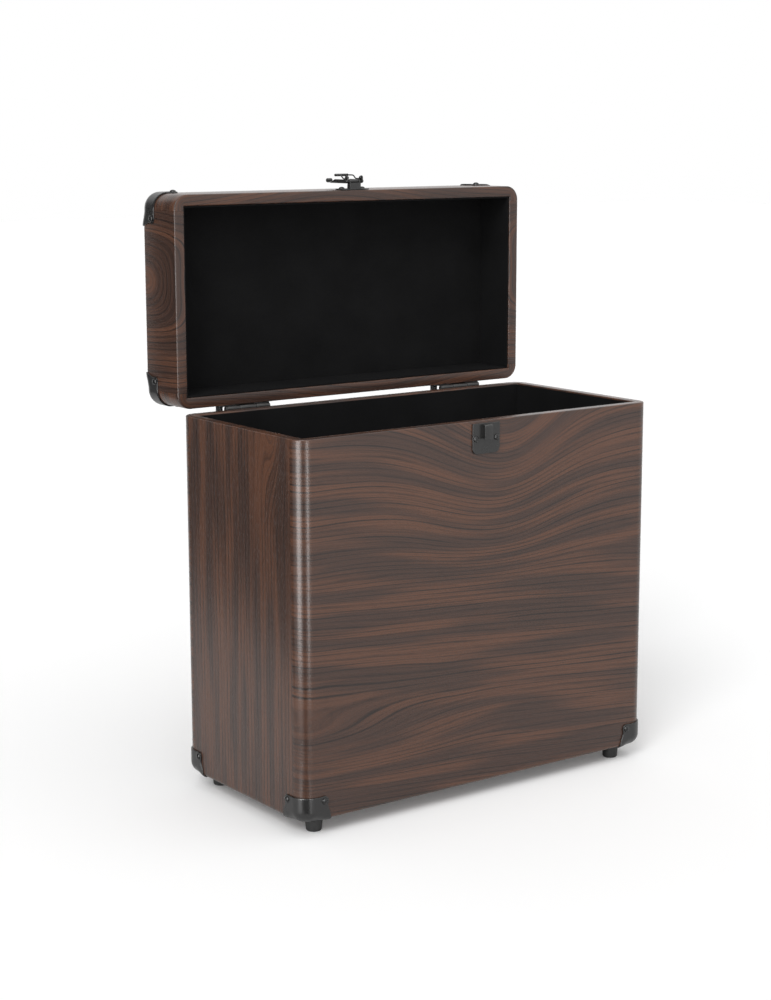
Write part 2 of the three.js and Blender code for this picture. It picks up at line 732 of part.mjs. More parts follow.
const latchCatch = join([
  prism(catchShape, axisY, catchPlateY),
  prism(hookShape, axisX, [-hookWidth / 2, hookWidth / 2]),
  ...[-1, 1].map((side) => nail([side * latchNailSpread, catchPlateY[0], catchMiddle],
    new THREE.Vector3(0, -1, 0), hingeNailRadius, nailRise)),
]);
addPiece(recordCase, 'latch_catch', latchCatch, 'steel');

// Carrying handle on the lid's roof, drawn lying flat towards the hinges
const roof = lidRim + lidHeight;
const handleY = -hingeY;
const handleZ = roof + handleAxisRise;
const armMiddle = handleSpan / 2;
const armInner = armMiddle - handleArm / 2;
const armOuter = armMiddle + handleArm / 2;
const gripBevel = {
  bevelEnabled: true,
  bevelThickness: handleBevel,
  bevelSize: handleBevel,
  bevelOffset: -handleBevel,
  bevelSegments: 2,
  curveSegments: 5,
};
const armEnd = handleEyeRadius - handleArm / 2;
const gripOutline = [
  ...arc(armMiddle, -armEnd, handleArm / 2, 180, 360, 6),
  ...arc(armOuter - handleCorner, handleGripOuter - handleCorner, handleCorner, 0, 90, 5),
  ...arc(-armOuter + handleCorner, handleGripOuter - handleCorner, handleCorner, 90, 180, 5),
  ...arc(-armMiddle, -armEnd, handleArm / 2, 180, 360, 6),
  [-armInner, handleGripInner - handleBevel],
  [-armInner + handleBevel, handleGripInner],
  [armInner - handleBevel, handleGripInner],
  [armInner, handleGripInner - handleBevel],
];
const gripShape = outline(gripOutline.map(([x, s]) => [x, handleY + s]));
const gripSpan = [
  handleZ - handleThickness / 2 + handleBevel,
  handleZ + handleThickness / 2 - handleBevel,
];
const pinReach = armOuter + handleSideGap + sheet;
const handleBore = rod(axisX, [0, handleY, handleZ], handlePinRadius + pinClearance,
  [-pinReach, pinReach]);
const grip = prism(gripShape, axisZ, gripSpan, gripBevel).subtract(handleBore);
addPiece(lid, 'handle_grip', grip, 'plastic');

const sides = { left: -1, right: 1 };
Object.entries(sides).forEach(([name, side]) => {
  const lugSpans = [
    [armInner - handleSideGap - sheet, armInner - handleSideGap],
    [armOuter + handleSideGap, armOuter + handleSideGap + sheet],
  ];
  const plateTop = roof + seatGap + sheet;
  const plateEnds = [lugSpans[0][0], lugSpans[1][1] + handlePlateReach];
  const far = plateEnds[1] - handlePlateCorner;
  const edge = handlePlateHalf - handlePlateCorner;
  const plateShape = outline([
    [plateEnds[0], -handlePlateHalf],
    ...arc(far, -edge, handlePlateCorner, 270, 360, 3),
    ...arc(far, edge, handlePlateCorner, 0, 90, 3),
    [plateEnds[0], handlePlateHalf],
  ].map(([x, s]) => [x, handleY + s]));
  const lugShape = outline([
    [-handlePlateHalf, plateTop - sheet / 2],
    [handlePlateHalf, plateTop - sheet / 2],
    ...arc(0, handleZ, handleLugRadius, 0, 180, 8),
  ].map(([s, z]) => [handleY + s, z]));
  const nailX = lugSpans[1][1] + handlePlateReach / 2;
  const bracket = join([
    prism(plateShape, axisZ, [roof + seatGap, plateTop]),
    ...lugSpans.map((span) => prism(lugShape, axisX, span)),
    ...[-1, 1].map((end) => nail([nailX, handleY + end * handlePlateHalf / 2, plateTop],
      axisZ, hingeNailRadius, nailRise)),
  ]).subtract(handleBore);
  const pinLength = [lugSpans[0][0] - handleSideGap, lugSpans[1][1] + handleSideGap];
  const head = handlePinRadius * 2;
  const pin = join([
    rod(axisX, [0, handleY, handleZ], handlePinRadius, pinLength),
    rod(axisX, [0, handleY, handleZ], head, [pinLength[0] - sheet, pinLength[0]]),
    rod(axisX, [0, handleY, handleZ], head, [pinLength[1], pinLength[1] + sheet]),
  ]);
  const mirrored = (solid) => (side < 0 ? solid.mirror([1, 0, 0]) : solid);
  addPiece(lid, `handle_bracket_${name}`, mirrored(bracket), 'steel');
  addPiece(lid, `handle_pin_${name}`, mirrored(pin), 'steel');
});

export default recordCase;
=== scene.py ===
import json
import math

import bmesh
import bpy
from mathutils import Matrix, Vector
from mathutils.geometry import delaunay_2d_cdt, tessellate_polygon


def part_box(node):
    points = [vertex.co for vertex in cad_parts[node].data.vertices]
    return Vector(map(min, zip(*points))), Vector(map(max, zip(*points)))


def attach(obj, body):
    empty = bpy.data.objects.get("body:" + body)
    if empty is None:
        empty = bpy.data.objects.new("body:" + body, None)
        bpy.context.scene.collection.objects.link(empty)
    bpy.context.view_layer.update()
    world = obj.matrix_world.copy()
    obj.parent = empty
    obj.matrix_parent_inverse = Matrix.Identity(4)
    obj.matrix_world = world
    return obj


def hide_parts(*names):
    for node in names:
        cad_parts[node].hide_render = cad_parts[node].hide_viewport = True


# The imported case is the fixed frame, open as it was modelled. Sizes below are in metres, and
# heights on the case are measured from the underside of its body, which stands on the feet.
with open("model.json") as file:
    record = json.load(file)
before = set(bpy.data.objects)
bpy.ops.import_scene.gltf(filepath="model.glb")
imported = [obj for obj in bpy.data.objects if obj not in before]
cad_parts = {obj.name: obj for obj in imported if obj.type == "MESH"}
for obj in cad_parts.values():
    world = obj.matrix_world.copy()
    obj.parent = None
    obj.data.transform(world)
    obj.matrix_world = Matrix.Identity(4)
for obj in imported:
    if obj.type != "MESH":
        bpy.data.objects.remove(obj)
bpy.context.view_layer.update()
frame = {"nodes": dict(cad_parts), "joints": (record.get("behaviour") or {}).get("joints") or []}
boards = {side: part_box(f"body_{side}_panel") for side in ("left", "right", "front", "rear")}
case_low = Vector((boards["left"][0].x, boards["front"][0].y, boards["left"][0].z))
case_high = Vector((boards["right"][1].x, boards["rear"][1].y, boards["left"][1].z))
case_middle = (case_low + case_high) / 2

# Camera: the open case is seen from its front left corner, a little above the rim of the body,
# from far enough away that its upright edges stay nearly parallel.
def add_object(name, data):
    """A new object in the scene, at the origin."""
    made = bpy.data.objects.new(name, data)
    bpy.context.scene.collection.objects.link(made)
    return made


turn, lift, roll = math.radians(-36.17), math.radians(10.64), math.radians(-0.12)
aim_left, aim_rise = 0.03473, 0.22175
camera_distance, lens_length = 1.627, 72.31
aim = Vector((case_middle.x - aim_left, case_middle.y, case_low.z + aim_rise))
towards = Vector(
    (math.sin(turn) * math.cos(lift), -math.cos(turn) * math.cos(lift), math.sin(lift))
)
level = Vector((0, 0, 1)).cross(towards).normalized()
upright = towards.cross(level)
across_view = level * math.cos(roll) + upright * math.sin(roll)
up_view = upright * math.cos(roll) - level * math.sin(roll)
camera = add_object("camera", bpy.data.cameras.new("camera"))
camera.data.lens = lens_length
camera.data.clip_end = 50
facing = Matrix((across_view, up_view, towards)).transposed().to_4x4()
camera.matrix_world = Matrix.Translation(aim + towards * camera_distance) @ facing
bpy.context.scene.camera = camera
bpy.context.scene.view_settings.view_transform = "Standard"


# Floor: a white sheet that the feet stand on, lit to the same white as the space behind it, so
# that it has no visible end and holds the soft shadow of the case. The gloss of the case sees
# it as a greyer sheet.
def add_node(tree, kind, settings=None, sockets=None):
    """A node of a tree: its settings first, and then the value or link of each socket."""
    made = tree.nodes.new(kind)
    for name, value in (settings or {}).items():
        setattr(made, name, value)
    for name, value in (sockets or {}).items():
        value = value.socket if isinstance(value, Wire) else value
        if isinstance(value, bpy.types.NodeSocket):
            tree.links.new(value, made.inputs[name])
        else:
            made.inputs[name].default_value = value
    return made


class Wire:
    """A socket of a finish, so that patterns are written as plain sums, which add Math nodes."""

    def __init__(self, finish, socket):
        self.finish, self.socket = finish, socket

    def maths(self, operation, *others):
        values = dict(enumerate((self, *others)))
        made = self.finish.node("Math", {"operation": operation}, values)
        return Wire(self.finish, made.outputs[0])

    def __add__(self, other):
        return self.maths("ADD", other)

    def __sub__(self, other):
        return self.maths("SUBTRACT", other)

    def __rsub__(self, other):
        return self.maths("MULTIPLY", -1).maths("ADD", other)

    def __mul__(self, other):
        return self.maths("MULTIPLY", other)

    def __truediv__(self, other):
        return self.maths("DIVIDE", other)

    def __abs__(self):
        return self.maths("ABSOLUTE")

    __radd__ = __add__
    __rmul__ = __mul__

    def hill(self, place, width):
        """1 at place, falling away on both sides of it like a bell."""
        step = (self - place) / width
        return (step * step * -1).maths("EXPONENT")

    def rise(self, low, high):
        """0 below low, 1 above high, and smooth between them."""
        made = self.finish.node(
            "MapRange", {"interpolation_type": "SMOOTHSTEP"}, {0: self, 1: low, 2: high}
        )
        return Wire(self.finish, made.outputs[0])


class Finish:
    """A material, with its constants given as socket names with _ for each space."""

    def __init__(self, name, **constants):
        self.material = bpy.data.materials.new(name)
        self.material.use_nodes = True
        self.tree = self.material.node_tree
        self.shader = self.tree.nodes["Principled BSDF"]
        for socket, value in constants.items():
            self.shader.inputs[socket.replace("_", " ")].default_value = value

    def node(self, kind, settings=None, sockets=None):
        return add_node(self.tree, "ShaderNode" + kind, settings, sockets)

    def noise(self, x, y, z=0, detail=2.0):
        place = self.node("CombineXYZ", None, {0: x, 1: y, 2: z}).outputs[0]
        made = self.node("TexNoise", None, {"Vector": place, "Scale": 1, "Detail": detail})
        return Wire(self, made.outputs[0])

    def place(self, uv_map=None):
        """Where a point lies, in millimetres: on the object, or on the sheet with that UV map."""
        if uv_map:
            source = self.node("UVMap", {"uv_map": uv_map}).outputs["UV"]
        else:
            source = self.node("TexCoord").outputs["Object"]
        parts = self.node("SeparateXYZ", None, {0: source})
        return [Wire(self, socket) * 1000 for socket in parts.outputs]

    def blend(self, share, first, second):
        """Two colours mixed, each a wire or three numbers."""
        first, second = (c if isinstance(c, Wire) else (*c, 1) for c in (first, second))
        made = self.node("Mix", {"data_type": "RGBA"}, {0: share, 6: first, 7: second})
        return Wire(self, made.outputs[2])

    def feed(self, socket, value):
        self.tree.links.new(value.socket, self.shader.inputs[socket])

    def bump(self, height, depth):
        made = self.node("Bump", None, {"Height": height, "Distance": depth, "Strength": 1})
        self.feed("Normal", Wire(self, made.outputs[0]))


def stage_sheet(name, corners, finish):
    """A flat sheet of four corners that belongs to the room and not to the case."""
    mesh = bpy.data.meshes.new(name)
    mesh.from_pydata(corners, [], [(0, 1, 2, 3)])
    mesh.materials.append(finish.material)
    sheet = add_object(name, mesh)
    return sheet


floor_reach = 9
floor_white, floor_in_gloss, floor_glow = 0.9, 0.78, 0.09
paper = Finish("white_floor", Roughness=1, Specular_IOR_Level=0, Emission_Color=(1, 1, 1, 1))
rays = paper.node("LightPath").outputs
in_gloss = Wire(paper, rays["Is Glossy Ray"])
paper.feed("Base Color", paper.blend(in_gloss, (floor_white,) * 3, (floor_in_gloss,) * 3))
paper.feed("Emission Strength", Wire(paper, rays["Is Camera Ray"]) * floor_glow)
turns = ((-1, -1), (1, -1), (1, 1), (-1, 1))
stage_sheet("floor", [(x * floor_reach, y * floor_reach, 0) for x, y in turns], paper)

# Light: white all round, a soft sun high on the left, a broad low one in front that reaches in
# under the case, and a weaker one from above. The camera and the gloss of the case see the
# white around it at full strength.
world = bpy.data.worlds.new("studio")
bpy.context.scene.world = world
world.use_nodes = True
dim_white, full_white = 0.54, 1.0
sky = world.node_tree
rays = add_node(sky, "ShaderNodeLightPath").outputs
either = {0: rays["Is Camera Ray"], 1: rays["Is Glossy Ray"]}
seen = add_node(sky, "ShaderNodeMath", {"operation": "MAXIMUM"}, either).outputs[0]
levels = {"Value": seen, "To Min": dim_white, "To Max": full_white}
strength = add_node(sky, "ShaderNodeMapRange", None, levels).outputs[0]
sky.nodes["Background"].inputs["Color"].default_value = (1, 1, 1, 1)
sky.links.new(strength, sky.nodes["Background"].inputs["Strength"])
suns = {
    "key_sun": ((-1.2, -0.85, 1.3), 1.3, 26),
    "low_sun": ((-0.8, -0.9, 0.45), 0.75, 50),
    "top_sun": ((0.2, -0.5, 1.6), 0.55, 60),
}
for name, (spot, power, width) in suns.items():
    sun = bpy.data.lights.new(name, "SUN")
    sun.energy, sun.angle = power, math.radians(width)
    facing = Vector(spot).to_track_quat("Z", "Y").to_matrix().to_4x4()
    add_object(name, sun).matrix_world = facing

# Two low upright strips, left and in front, that only the gloss of the case sees: they draw
# the paired lines of light on its rounded front corner.
strip_height, strip_middle, strip_distance = 0.5, 0.26, 0.6
strips = {"left_strip": (74, 0.3, 3.6), "front_strip": (7, 0.12, 1.5)}
for name, (bearing, width, power) in strips.items():
    strip = bpy.data.lights.new(name, "AREA")
    strip.shape, strip.size, strip.size_y = "RECTANGLE", width, strip_height
    strip.energy = power
    angle = math.radians(bearing)
    way = Vector((-math.sin(angle), -math.cos(angle), 0))
    spot = Vector((case_low.x, case_low.y, strip_middle)) + way * strip_distance
    facing = way.to_track_quat("Z", "Y").to_matrix().to_4x4()
    holder = add_object(name, strip)
    holder.matrix_world = Matrix.Translation(spot) @ facing
    holder.visible_camera = holder.visible_diffuse = False

# Upright cards that only the gloss of the case sees. A black one on the left keeps its left
# side dark at the top. Close to its corner, a tall black and a low grey one keep a dark line
# between two lines of light on foil and steel, and low white ones draw those on the steel.
black, grey = (0.005, 0.005, 0.005, 1), (0.1, 0.1, 0.1, 1)
velvet = Finish("black_card", Base_Color=black, Roughness=1, Specular_IOR_Level=0)
dusk = Finish("grey_card", Base_Color=grey, Roughness=1, Specular_IOR_Level=0)
glow = Finish(
    "white_card",
    Base_Color=black,
    Emission_Color=(1, 1, 1, 1),
    Emission_Strength=2.2,
    Specular_IOR_Level=0,
)
case_corner = Vector((case_low.x, case_low.y))


def by_corner(bearing, distance, half):
    """Near and far end of a card that faces the front left corner, bearing in degrees."""
    angle = math.radians(bearing)
    middle = case_corner - Vector((math.sin(angle), math.cos(angle))) * distance
    along = Vector((math.cos(angle), -math.sin(angle))) * half
    return middle - along, middle + along


corner_bearing = 36.2
by_floor, over_steel = 0.001, 0.03
cards = {
    "side_card": ((-0.40, 0.02), (-0.75, 1.5), over_steel, 1.4, velvet),
    "corner_card": (*by_corner(corner_bearing, 0.09, 0.024), by_floor, 0.4, velvet),
    "steel_card": (*by_corner(corner_bearing, 0.035, 0.021), by_floor, over_steel, dusk),
    "left_steel_glow": (*by_corner(84, 0.05, 0.012), by_floor, over_steel, glow),
    "front_steel_glow": (*by_corner(2, 0.05, 0.007), by_floor, over_steel, glow),
}
for name, (near, far, low, high, finish) in cards.items():
    corners = [(*near, low), (*far, low), (*far, high), (*near, high)]
    card = stage_sheet(name, corners, finish)
    card.visible_camera = card.visible_diffuse = card.visible_shadow = False


# Walls of the case: 9 mm boards under wood-grain foil, body and lid alike. The long sheets are
# drawn round the upright corners and meet the short ones in a fine seam, the edges of floor and
# roof are rounded, more so at the corners, and every sheet is turned in over the rim.
board = 0.009
corner_round, edge_round, rim_round = 0.012, 0.003, 0.0009
ball_round, ball_reach = 0.008, 0.027
seam_gap, seam_behind = 0.00012, 0.0008
sheet_end = corner_round + seam_behind
half_width = (case_high.x - case_low.x) / 2
half_depth = (case_high.y - case_low.y) / 2
body_height = case_high.z - case_low.z
lid_height = 0.05
rim_gap = 0.0004
hinge = Vector(next(j["pos_m"] for j in frame["joints"] if j["name"] == "lid_hinge"))


def on_body(x, y, rise):
    """A point of the body: across, to the back of its middle, and up from its underside."""
    return Vector((x, case_middle.y + y, case_low.z + rise))


def on_lid(x, y, rise):
    """A point of the open lid, given as on the closed case, with rise down from its roof."""
    back = hinge.y + rim_gap / 2 + lid_height - rise
    return Vector((x, back, hinge.z + hinge.y - case_middle.y - y))


weld = 2e-6


def keep(made, name, sharp=35):
    """Makes the piece's object from its finished faces; edges over sharp degrees stay sharp."""
    bmesh.ops.remove_doubles(made, verts=made.verts, dist=weld)
    bmesh.ops.recalc_face_normals(made, faces=made.faces)
    mesh = bpy.data.meshes.new(name)
    made.to_mesh(mesh)
    made.free()
    mesh.shade_smooth()
    mesh.set_sharp_from_angle(angle=math.radians(sharp))
    return add_object(name, mesh)


def dress(piece, finish, slot, body=None, *nodes):
    """Gives a piece its finish, and makes it ride and stand for CAD nodes where it is new."""
    piece.data.materials.clear()
    piece.data.materials.append(finish.material)
    if body:
        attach(piece, body)
    if nodes:
        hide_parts(*nodes)


def end_radius(distance):
    """Rounding of the end edge at a distance from the corner of the case."""
    share = min(max((distance - corner_round) / (ball_reach - corner_round), 0), 1)
    return ball_round + (edge_round - ball_round) * share * share * (3 - 2 * share)


def wall_stations(half_long, half_short, wrapped):
    """Places along a wall, seen from above: outer point, normal, inner point, end rounding."""
    eases = [0.0015, 0.003, 0.005, 0.007, 0.009, 0.011, 0.013, 0.015]
    midway = 0.05
    reach = half_long - corner_round if wrapped else half_long - sheet_end - seam_gap
    runs = [-reach, *(step - half_long + corner_round for step in eases), -midway, 0]
    runs = [run for run in runs if run >= -reach]
    runs += [-run for run in reversed(runs[:-1])]
    made = []
    for run in runs:
        outer = Vector((run, -half_short))
        radius = end_radius(half_long - abs(run))
        made.append((outer, Vector((0, -1)), outer + Vector((0, board)), radius))
    if not wrapped:
        return made
    corner = []
    centre = Vector((corner_round - half_long, corner_round - half_short))
    inner = Vector((board - half_long, board - half_short))
    end = Vector((-half_long, sheet_end - half_short))
    corner.append((end, Vector((-1, 0)), end + Vector((board, 0)), ball_round))
    steps = 18
    for k in range(steps):
        angle = math.pi * (1 + k / steps / 2)
        normal = Vector((math.cos(angle), math.sin(angle)))
        corner.append((centre + normal * corner_round, normal, inner, ball_round))
    turned = [
        tuple(Vector((-part.x, part.y)) for part in station[:3]) + station[3:]
        for station in reversed(corner)
    ]
    return corner + made + turned


def wall(name, half_long, half_short, height, wrapped, place):
    """A foil-covered board. Its UV map is the lie of the foil: metres along and up the wall."""
    made = bmesh.new()
    lie = made.loops.layers.uv.new("foil")
    rows, alongs, ups = [], [], []
    along, previous = 0, None
    for outer, normal, inner, radius in wall_stations(half_long, half_short, wrapped):
        along += (outer - previous).length if previous else 0
        previous = outer
        inwards = (inner - outer).normalized()
        profile = [(inner, 0, -board)]
        for k in range(9):
            angle = math.pi / 2 * k / 8
            inset, rise = radius * (1 - math.sin(angle)), radius * (1 - math.cos(angle))
            up = radius * (1 + angle - math.pi / 2)
            profile.append((outer - normal * inset, rise, up))
        for k in range(4):
            angle = math.pi / 2 * k / 3
            inset, drop = rim_round * (1 - math.cos(angle)), rim_round * (1 - math.sin(angle))
            profile.append((outer - normal * inset, height - drop, height - drop))
        for k in range(4):
            angle = math.pi / 2 * k / 3
            inset, drop = rim_round * (1 - math.sin(angle)), rim_round * (1 - math.cos(angle))
            profile.append((inner - inwards * inset, height - drop, height + board + drop))
        rows.append([made.verts.new(place(p.x, p.y, z)) for p, z, _ in profile])
        alongs.append(along)
        ups.append([up for _, _, up in profile] + [2 * height + board])
    count = len(rows[0])
    for i in range(len(rows) - 1):
        for j in range(count):
            k = (j + 1) % count
            corners = [(i, j, j), (i + 1, j, j), (i + 1, k, j + 1), (i, k, j + 1)]
            face = made.faces.new([rows[a][b] for a, b, _ in corners])
            for loop, (a, _, c) in zip(face.loops, corners):
                loop[lie].uv = (alongs[a] - along / 2, ups[a][c])
    made.faces.new(rows[0])
    made.faces.new(rows[-1])
    return keep(made, name)


# The foil: a print of dark walnut under a satin lacquer that is embossed along the grain.
# Each sheet has its own figure, so each finish is told how far across the grain a point lies.
def foil(name, figure):
    """Foil whose figure(finish, along, up) gives the places across and along the grain, mm."""
    finish = Finish(name)
    along, up, _ = finish.place("foil")
    across, down = figure(finish, along, up)
    print_grain(finish, across, down)
    return finish


def print_grain(finish, across, down):
    """The print: dark growth lines and finer ones between them on bands of brown and grey."""
    drift = finish.noise(across / 30, down / 240) * 9 + finish.noise(across / 9, down / 70) * 1.6
    level = across + drift
    fibre = finish.noise(level / 0.7, down / 24, 7, detail=2)
    dark = 0
    for spacing, sharp, weight in ((4.4, 0.5, 0.5), (1.9, 0.3, 0.32)):
        turn = level / spacing
        ring = turn.maths("FLOOR")
        line = (1 - abs(turn - ring - 0.5) * 2).rise(sharp, 1.0)
        strong = finish.noise(ring * 0.77, down / 110, spacing, detail=1).rise(0.25, 0.6)
        strong = strong * 0.7 + 0.3
        dark = line * strong * weight + dark
    streak = finish.noise(level / 1.5, down / 60, 3, detail=2).rise(0.42, 0.72)
    pores = finish.noise(level / 0.45, down / 5, 11, detail=1).rise(0.58, 0.74)
    dark = dark + streak * 0.15 + fibre.rise(0.4, 0.8) * 0.2 + pores * 0.14
    band = finish.noise(level / 13, down / 170, 5, detail=1).rise(0.4, 0.62)
    brown = finish.blend(band, (0.055, 0.029, 0.021), (0.104, 0.046, 0.027))
    finish.feed("Base Color", finish.blend(dark.rise(0, 0.98), brown, (0.013, 0.009, 0.008)))
    finish.feed("Roughness", 0.22 + fibre * 0.08 + dark * 0.06)
    finish.bump(dark * -0.5 + fibre * 0.6 + pores * -0.4, 0.00006)


def front_figure(finish, along, up):
    """Two veneer prints over each other: a hanging U above, straight lines below, and under
    them long V shapes whose tips point right."""
    bulge = along.hill(12, 75)
    hang = bulge * (up - 115) * 0.25
    narrow = along.hill(25, 38) * ((up - 290) / 30).maths("EXPONENT") * 22
    above = up + hang + narrow - 48
    side = up - 58 + (along + 112) * 0.08
    below = side + side.hill(0, 26) * (1 - along.rise(-190, 30)) * 30
    upper = up.rise(150, 200)
    return above * upper + below * (1 - upper), along


def side_figure(finish, along, up):
    """Grain that stands upright, with a V near the front edge whose tip points down."""
    from_front = 85 - along
    side = from_front - 33
    return side + side.hill(0, 14) * up.rise(215, 320) * 26 + 140, up


def knot_figure(finish, along, up):
    """Upright grain of the lid's short sides, round an oval knot at the edge of the roof."""
    beside = along - 16
    over = up - 4
    ring = (beside * beside + over * over * beside.hill(0, 32) * 0.5 + 9).maths("SQRT")
    return ring + up * 0.05 + 60, up


def back_figure(finish, along, up):
    """Lengthways grain with one long arch."""
    side = up - 150
    return (side * side + 400).maths("SQRT") - along.hill(-20, 110) * 24 + 500, along


front_foil = foil("front_foil", front_figure)
side_foil = foil("side_foil", side_figure)
knot_foil = foil("knot_foil", knot_figure)
back_foil = foil("back_foil", back_figure)

wall_places = {
    "front": lambda x, y: (x, y),
    "rear": lambda x, y: (-x, -y),
    "left": lambda x, y: (y, -x),
    "right": lambda x, y: (-y, -x),
}
wall_foils = {
    ("body", "front"): front_foil,
    ("body", "rear"): back_foil,
    ("body", "left"): side_foil,
    ("body", "right"): side_foil,
    ("lid", "front"): back_foil,
    ("lid", "rear"): back_foil,
    ("lid", "left"): knot_foil,
    ("lid", "right"): knot_foil,
}
long_sides = ("front", "rear")
for (part, side), finish in wall_foils.items():
    wrapped = side in long_sides
    halves = (half_width, half_depth) if wrapped else (half_depth, half_width)
    height = body_height if part == "body" else lid_height
    turned, lay = wall_places[side], on_body if part == "body" else on_lid
    piece = wall(
        f"{part}_{side}_wall", *halves, height, wrapped, lambda x, y, z: lay(*turned(x, y), z)
    )
    dress(piece, finish, "wood_foil", part, f"{part}_{side}_panel")


# Floor of the body and roof of the lid: a board let in between the walls, and the foil that
# covers it out to where the walls' edges begin to round.
end_foil = Finish("end_foil")
across, back, up = end_foil.place()
print_grain(end_foil, back + up - across.hill(30, 90) * 22, across)
sheet_thickness = 0.00015
for part, end, lay in (("body", "bottom", on_body), ("lid", "top", on_lid)):
    made = bmesh.new()
    border = []
    for side in ("front", "right", "rear", "left"):
        wrapped = side in long_sides
        halves = (half_width, half_depth) if wrapped else (half_depth, half_width)
        around = []
        for outer, normal, _, radius in wall_stations(*halves, wrapped):
            around.append(Vector(wall_places[side](*(outer - normal * radius))))
        border += around if side != "right" else list(reversed(around))
    rings = []
    for rise in (-sheet_thickness, sheet_thickness):
        rings.append([made.verts.new(lay(p.x, p.y, rise)) for p in border])
        made.faces.new(rings[-1])
    lower, upper = rings
    for k in range(len(border)):
        made.faces.new((lower[k], lower[k - 1], upper[k - 1], upper[k]))
    dress(keep(made, f"{part}_{end}_foil"), end_foil, "wood_foil", part)
    dress(frame["nodes"][f"{part}_{end}_panel"], end_foil, "wood_foil")


# Lining: thin boards in black, fine-grained paper, cut to fit inside the body and the lid and
# glued in there, just below the turned-in foil of the rim.
lining_paper = Finish("lining_paper", Roughness=0.9, Specular_IOR_Level=0.05)
x, y, z = lining_paper.place()
fleck = lining_paper.noise(x * 3, y * 3, z * 3, detail=3)
cloud = lining_paper.noise(x / 35, y / 35, z / 35)
shade = (fleck * 0.7 + cloud * 0.3).rise(0.3, 0.7)
blacks = (0.006, 0.006, 0.0063), (0.012, 0.012, 0.0124)
lining_paper.feed("Base Color", lining_paper.blend(shade, *blacks))
lining_paper.bump(fleck, 0.00008)
for name, node in frame["nodes"].items():
    if name.endswith("_lining"):
        dress(node, lining_paper, "black_lining")


# Corner protectors: black lacquered steel, stamped over the corners of the body's floor and
# the lid's roof. Each has an ear with a dome nail on both walls and ends in a hollow triangle
# on the floor or roof.
sheet = 0.001
seat = 0.00025
proud = seat + sheet
plate_reach, plate_rise, plate_foot = 0.026, 0.0192, 0.0012
ear_radius, ear_out, ear_up = 0.0038, 0.0196, 0.0154
nail_radius = 0.0026
arc_half = corner_round * math.pi / 4
nails = {"body": [], "lid": []}

black_lacquer = Finish("black_lacquer", Specular_IOR_Level=0.65)
x, y, z = black_lacquer.place()
orange_peel = black_lacquer.noise(x * 0.9, y * 0.9, z * 0.9)
smear = black_lacquer.noise(x / 9, y / 9, z / 9)
blacks = (0.008, 0.008, 0.0078), (0.014, 0.0138, 0.0135)
black_lacquer.feed("Base Color", black_lacquer.blend(orange_peel.rise(0.2, 0.8), *blacks))
black_lacquer.feed("Roughness", 0.23 + smear * 0.12)
black_lacquer.bump(orange_peel, 0.00003)


def steel(made, name, part, sharp=50):
    """Lacquers a finished piece of steel, which stands for the CAD node of its name."""
    dress(keep(made, name, sharp), black_lacquer, "black_steel", part, name)


def arc(across, up, radius, start, end, steps):
    """Points of an arc, angles in degrees."""
    turns = [math.radians(start + (end - start) * k / steps) for k in range(steps + 1)]
    return [(across + radius * math.cos(t), up + radius * math.sin(t)) for t in turns]


def inset(points, amount):
    """The outline drawn in by an amount; its points run anticlockwise."""
    moved = []
    for k, here in enumerate(points):
        before, after = points[k - 1], points[(k + 1) % len(points)]
        first = (Vector(here) - Vector(before)).normalized()
        second = (Vector(after) - Vector(here)).normalized()
        first, second = Vector((-first.y, first.x)), Vector((-second.y, second.x))
        step = (first + second) / max(1 + first.dot(second), 0.3)
        moved.append(tuple(Vector(here) + step * amount))
    return moved


def anticlockwise(points):
    pairs = zip(points, points[1:] + points[:1])
    area = sum(a[0] * b[1] - b[0] * a[1] for a, b in pairs)
    return points if area > 0 else list(reversed(points))


def path_point(run, out, drop_in):
    """Plan of the corner's walls, from the corner: the place at a run round it from the middle
    of its arc, standing out of the wall by out and drawn in by drop_in."""
    if abs(run) < arc_half:
        turn = math.pi / 4 + run / corner_round
        reach = corner_round + out - drop_in
        across = corner_round - reach * math.sin(math.pi / 2 - turn)
        return across, corner_round - reach * math.sin(turn)
    along, off = corner_round + abs(run) - arc_half, drop_in - out
    return (along, off) if run > 0 else (off, along)


def radius_at(run):
    """Rounding of the end edge at a run round the corner."""
    return end_radius(corner_round + max(abs(run) - arc_half, 0))


def climb_at(run, rise):
    """The climb along the skin, from where the edge begins to round, that reaches a height."""
    radius = radius_at(run)
    if rise < radius:
        return radius * math.acos(1 - rise / radius)
    return rise + radius * (math.pi / 2 - 1)


def skin_point(run, climb, out):
    """A point over the corner, at a run round it and a climb along the skin."""
    radius = radius_at(run)
    if climb < radius * math.pi / 2:
        turn = climb / radius
        rise = radius - (radius + out) * math.cos(turn)
        place = path_point(run, out, (radius + out) * (1 - math.sin(turn)))
    else:
        rise, place = climb - radius * (math.pi / 2 - 1), path_point(run, out, 0)
    return (*place, rise)


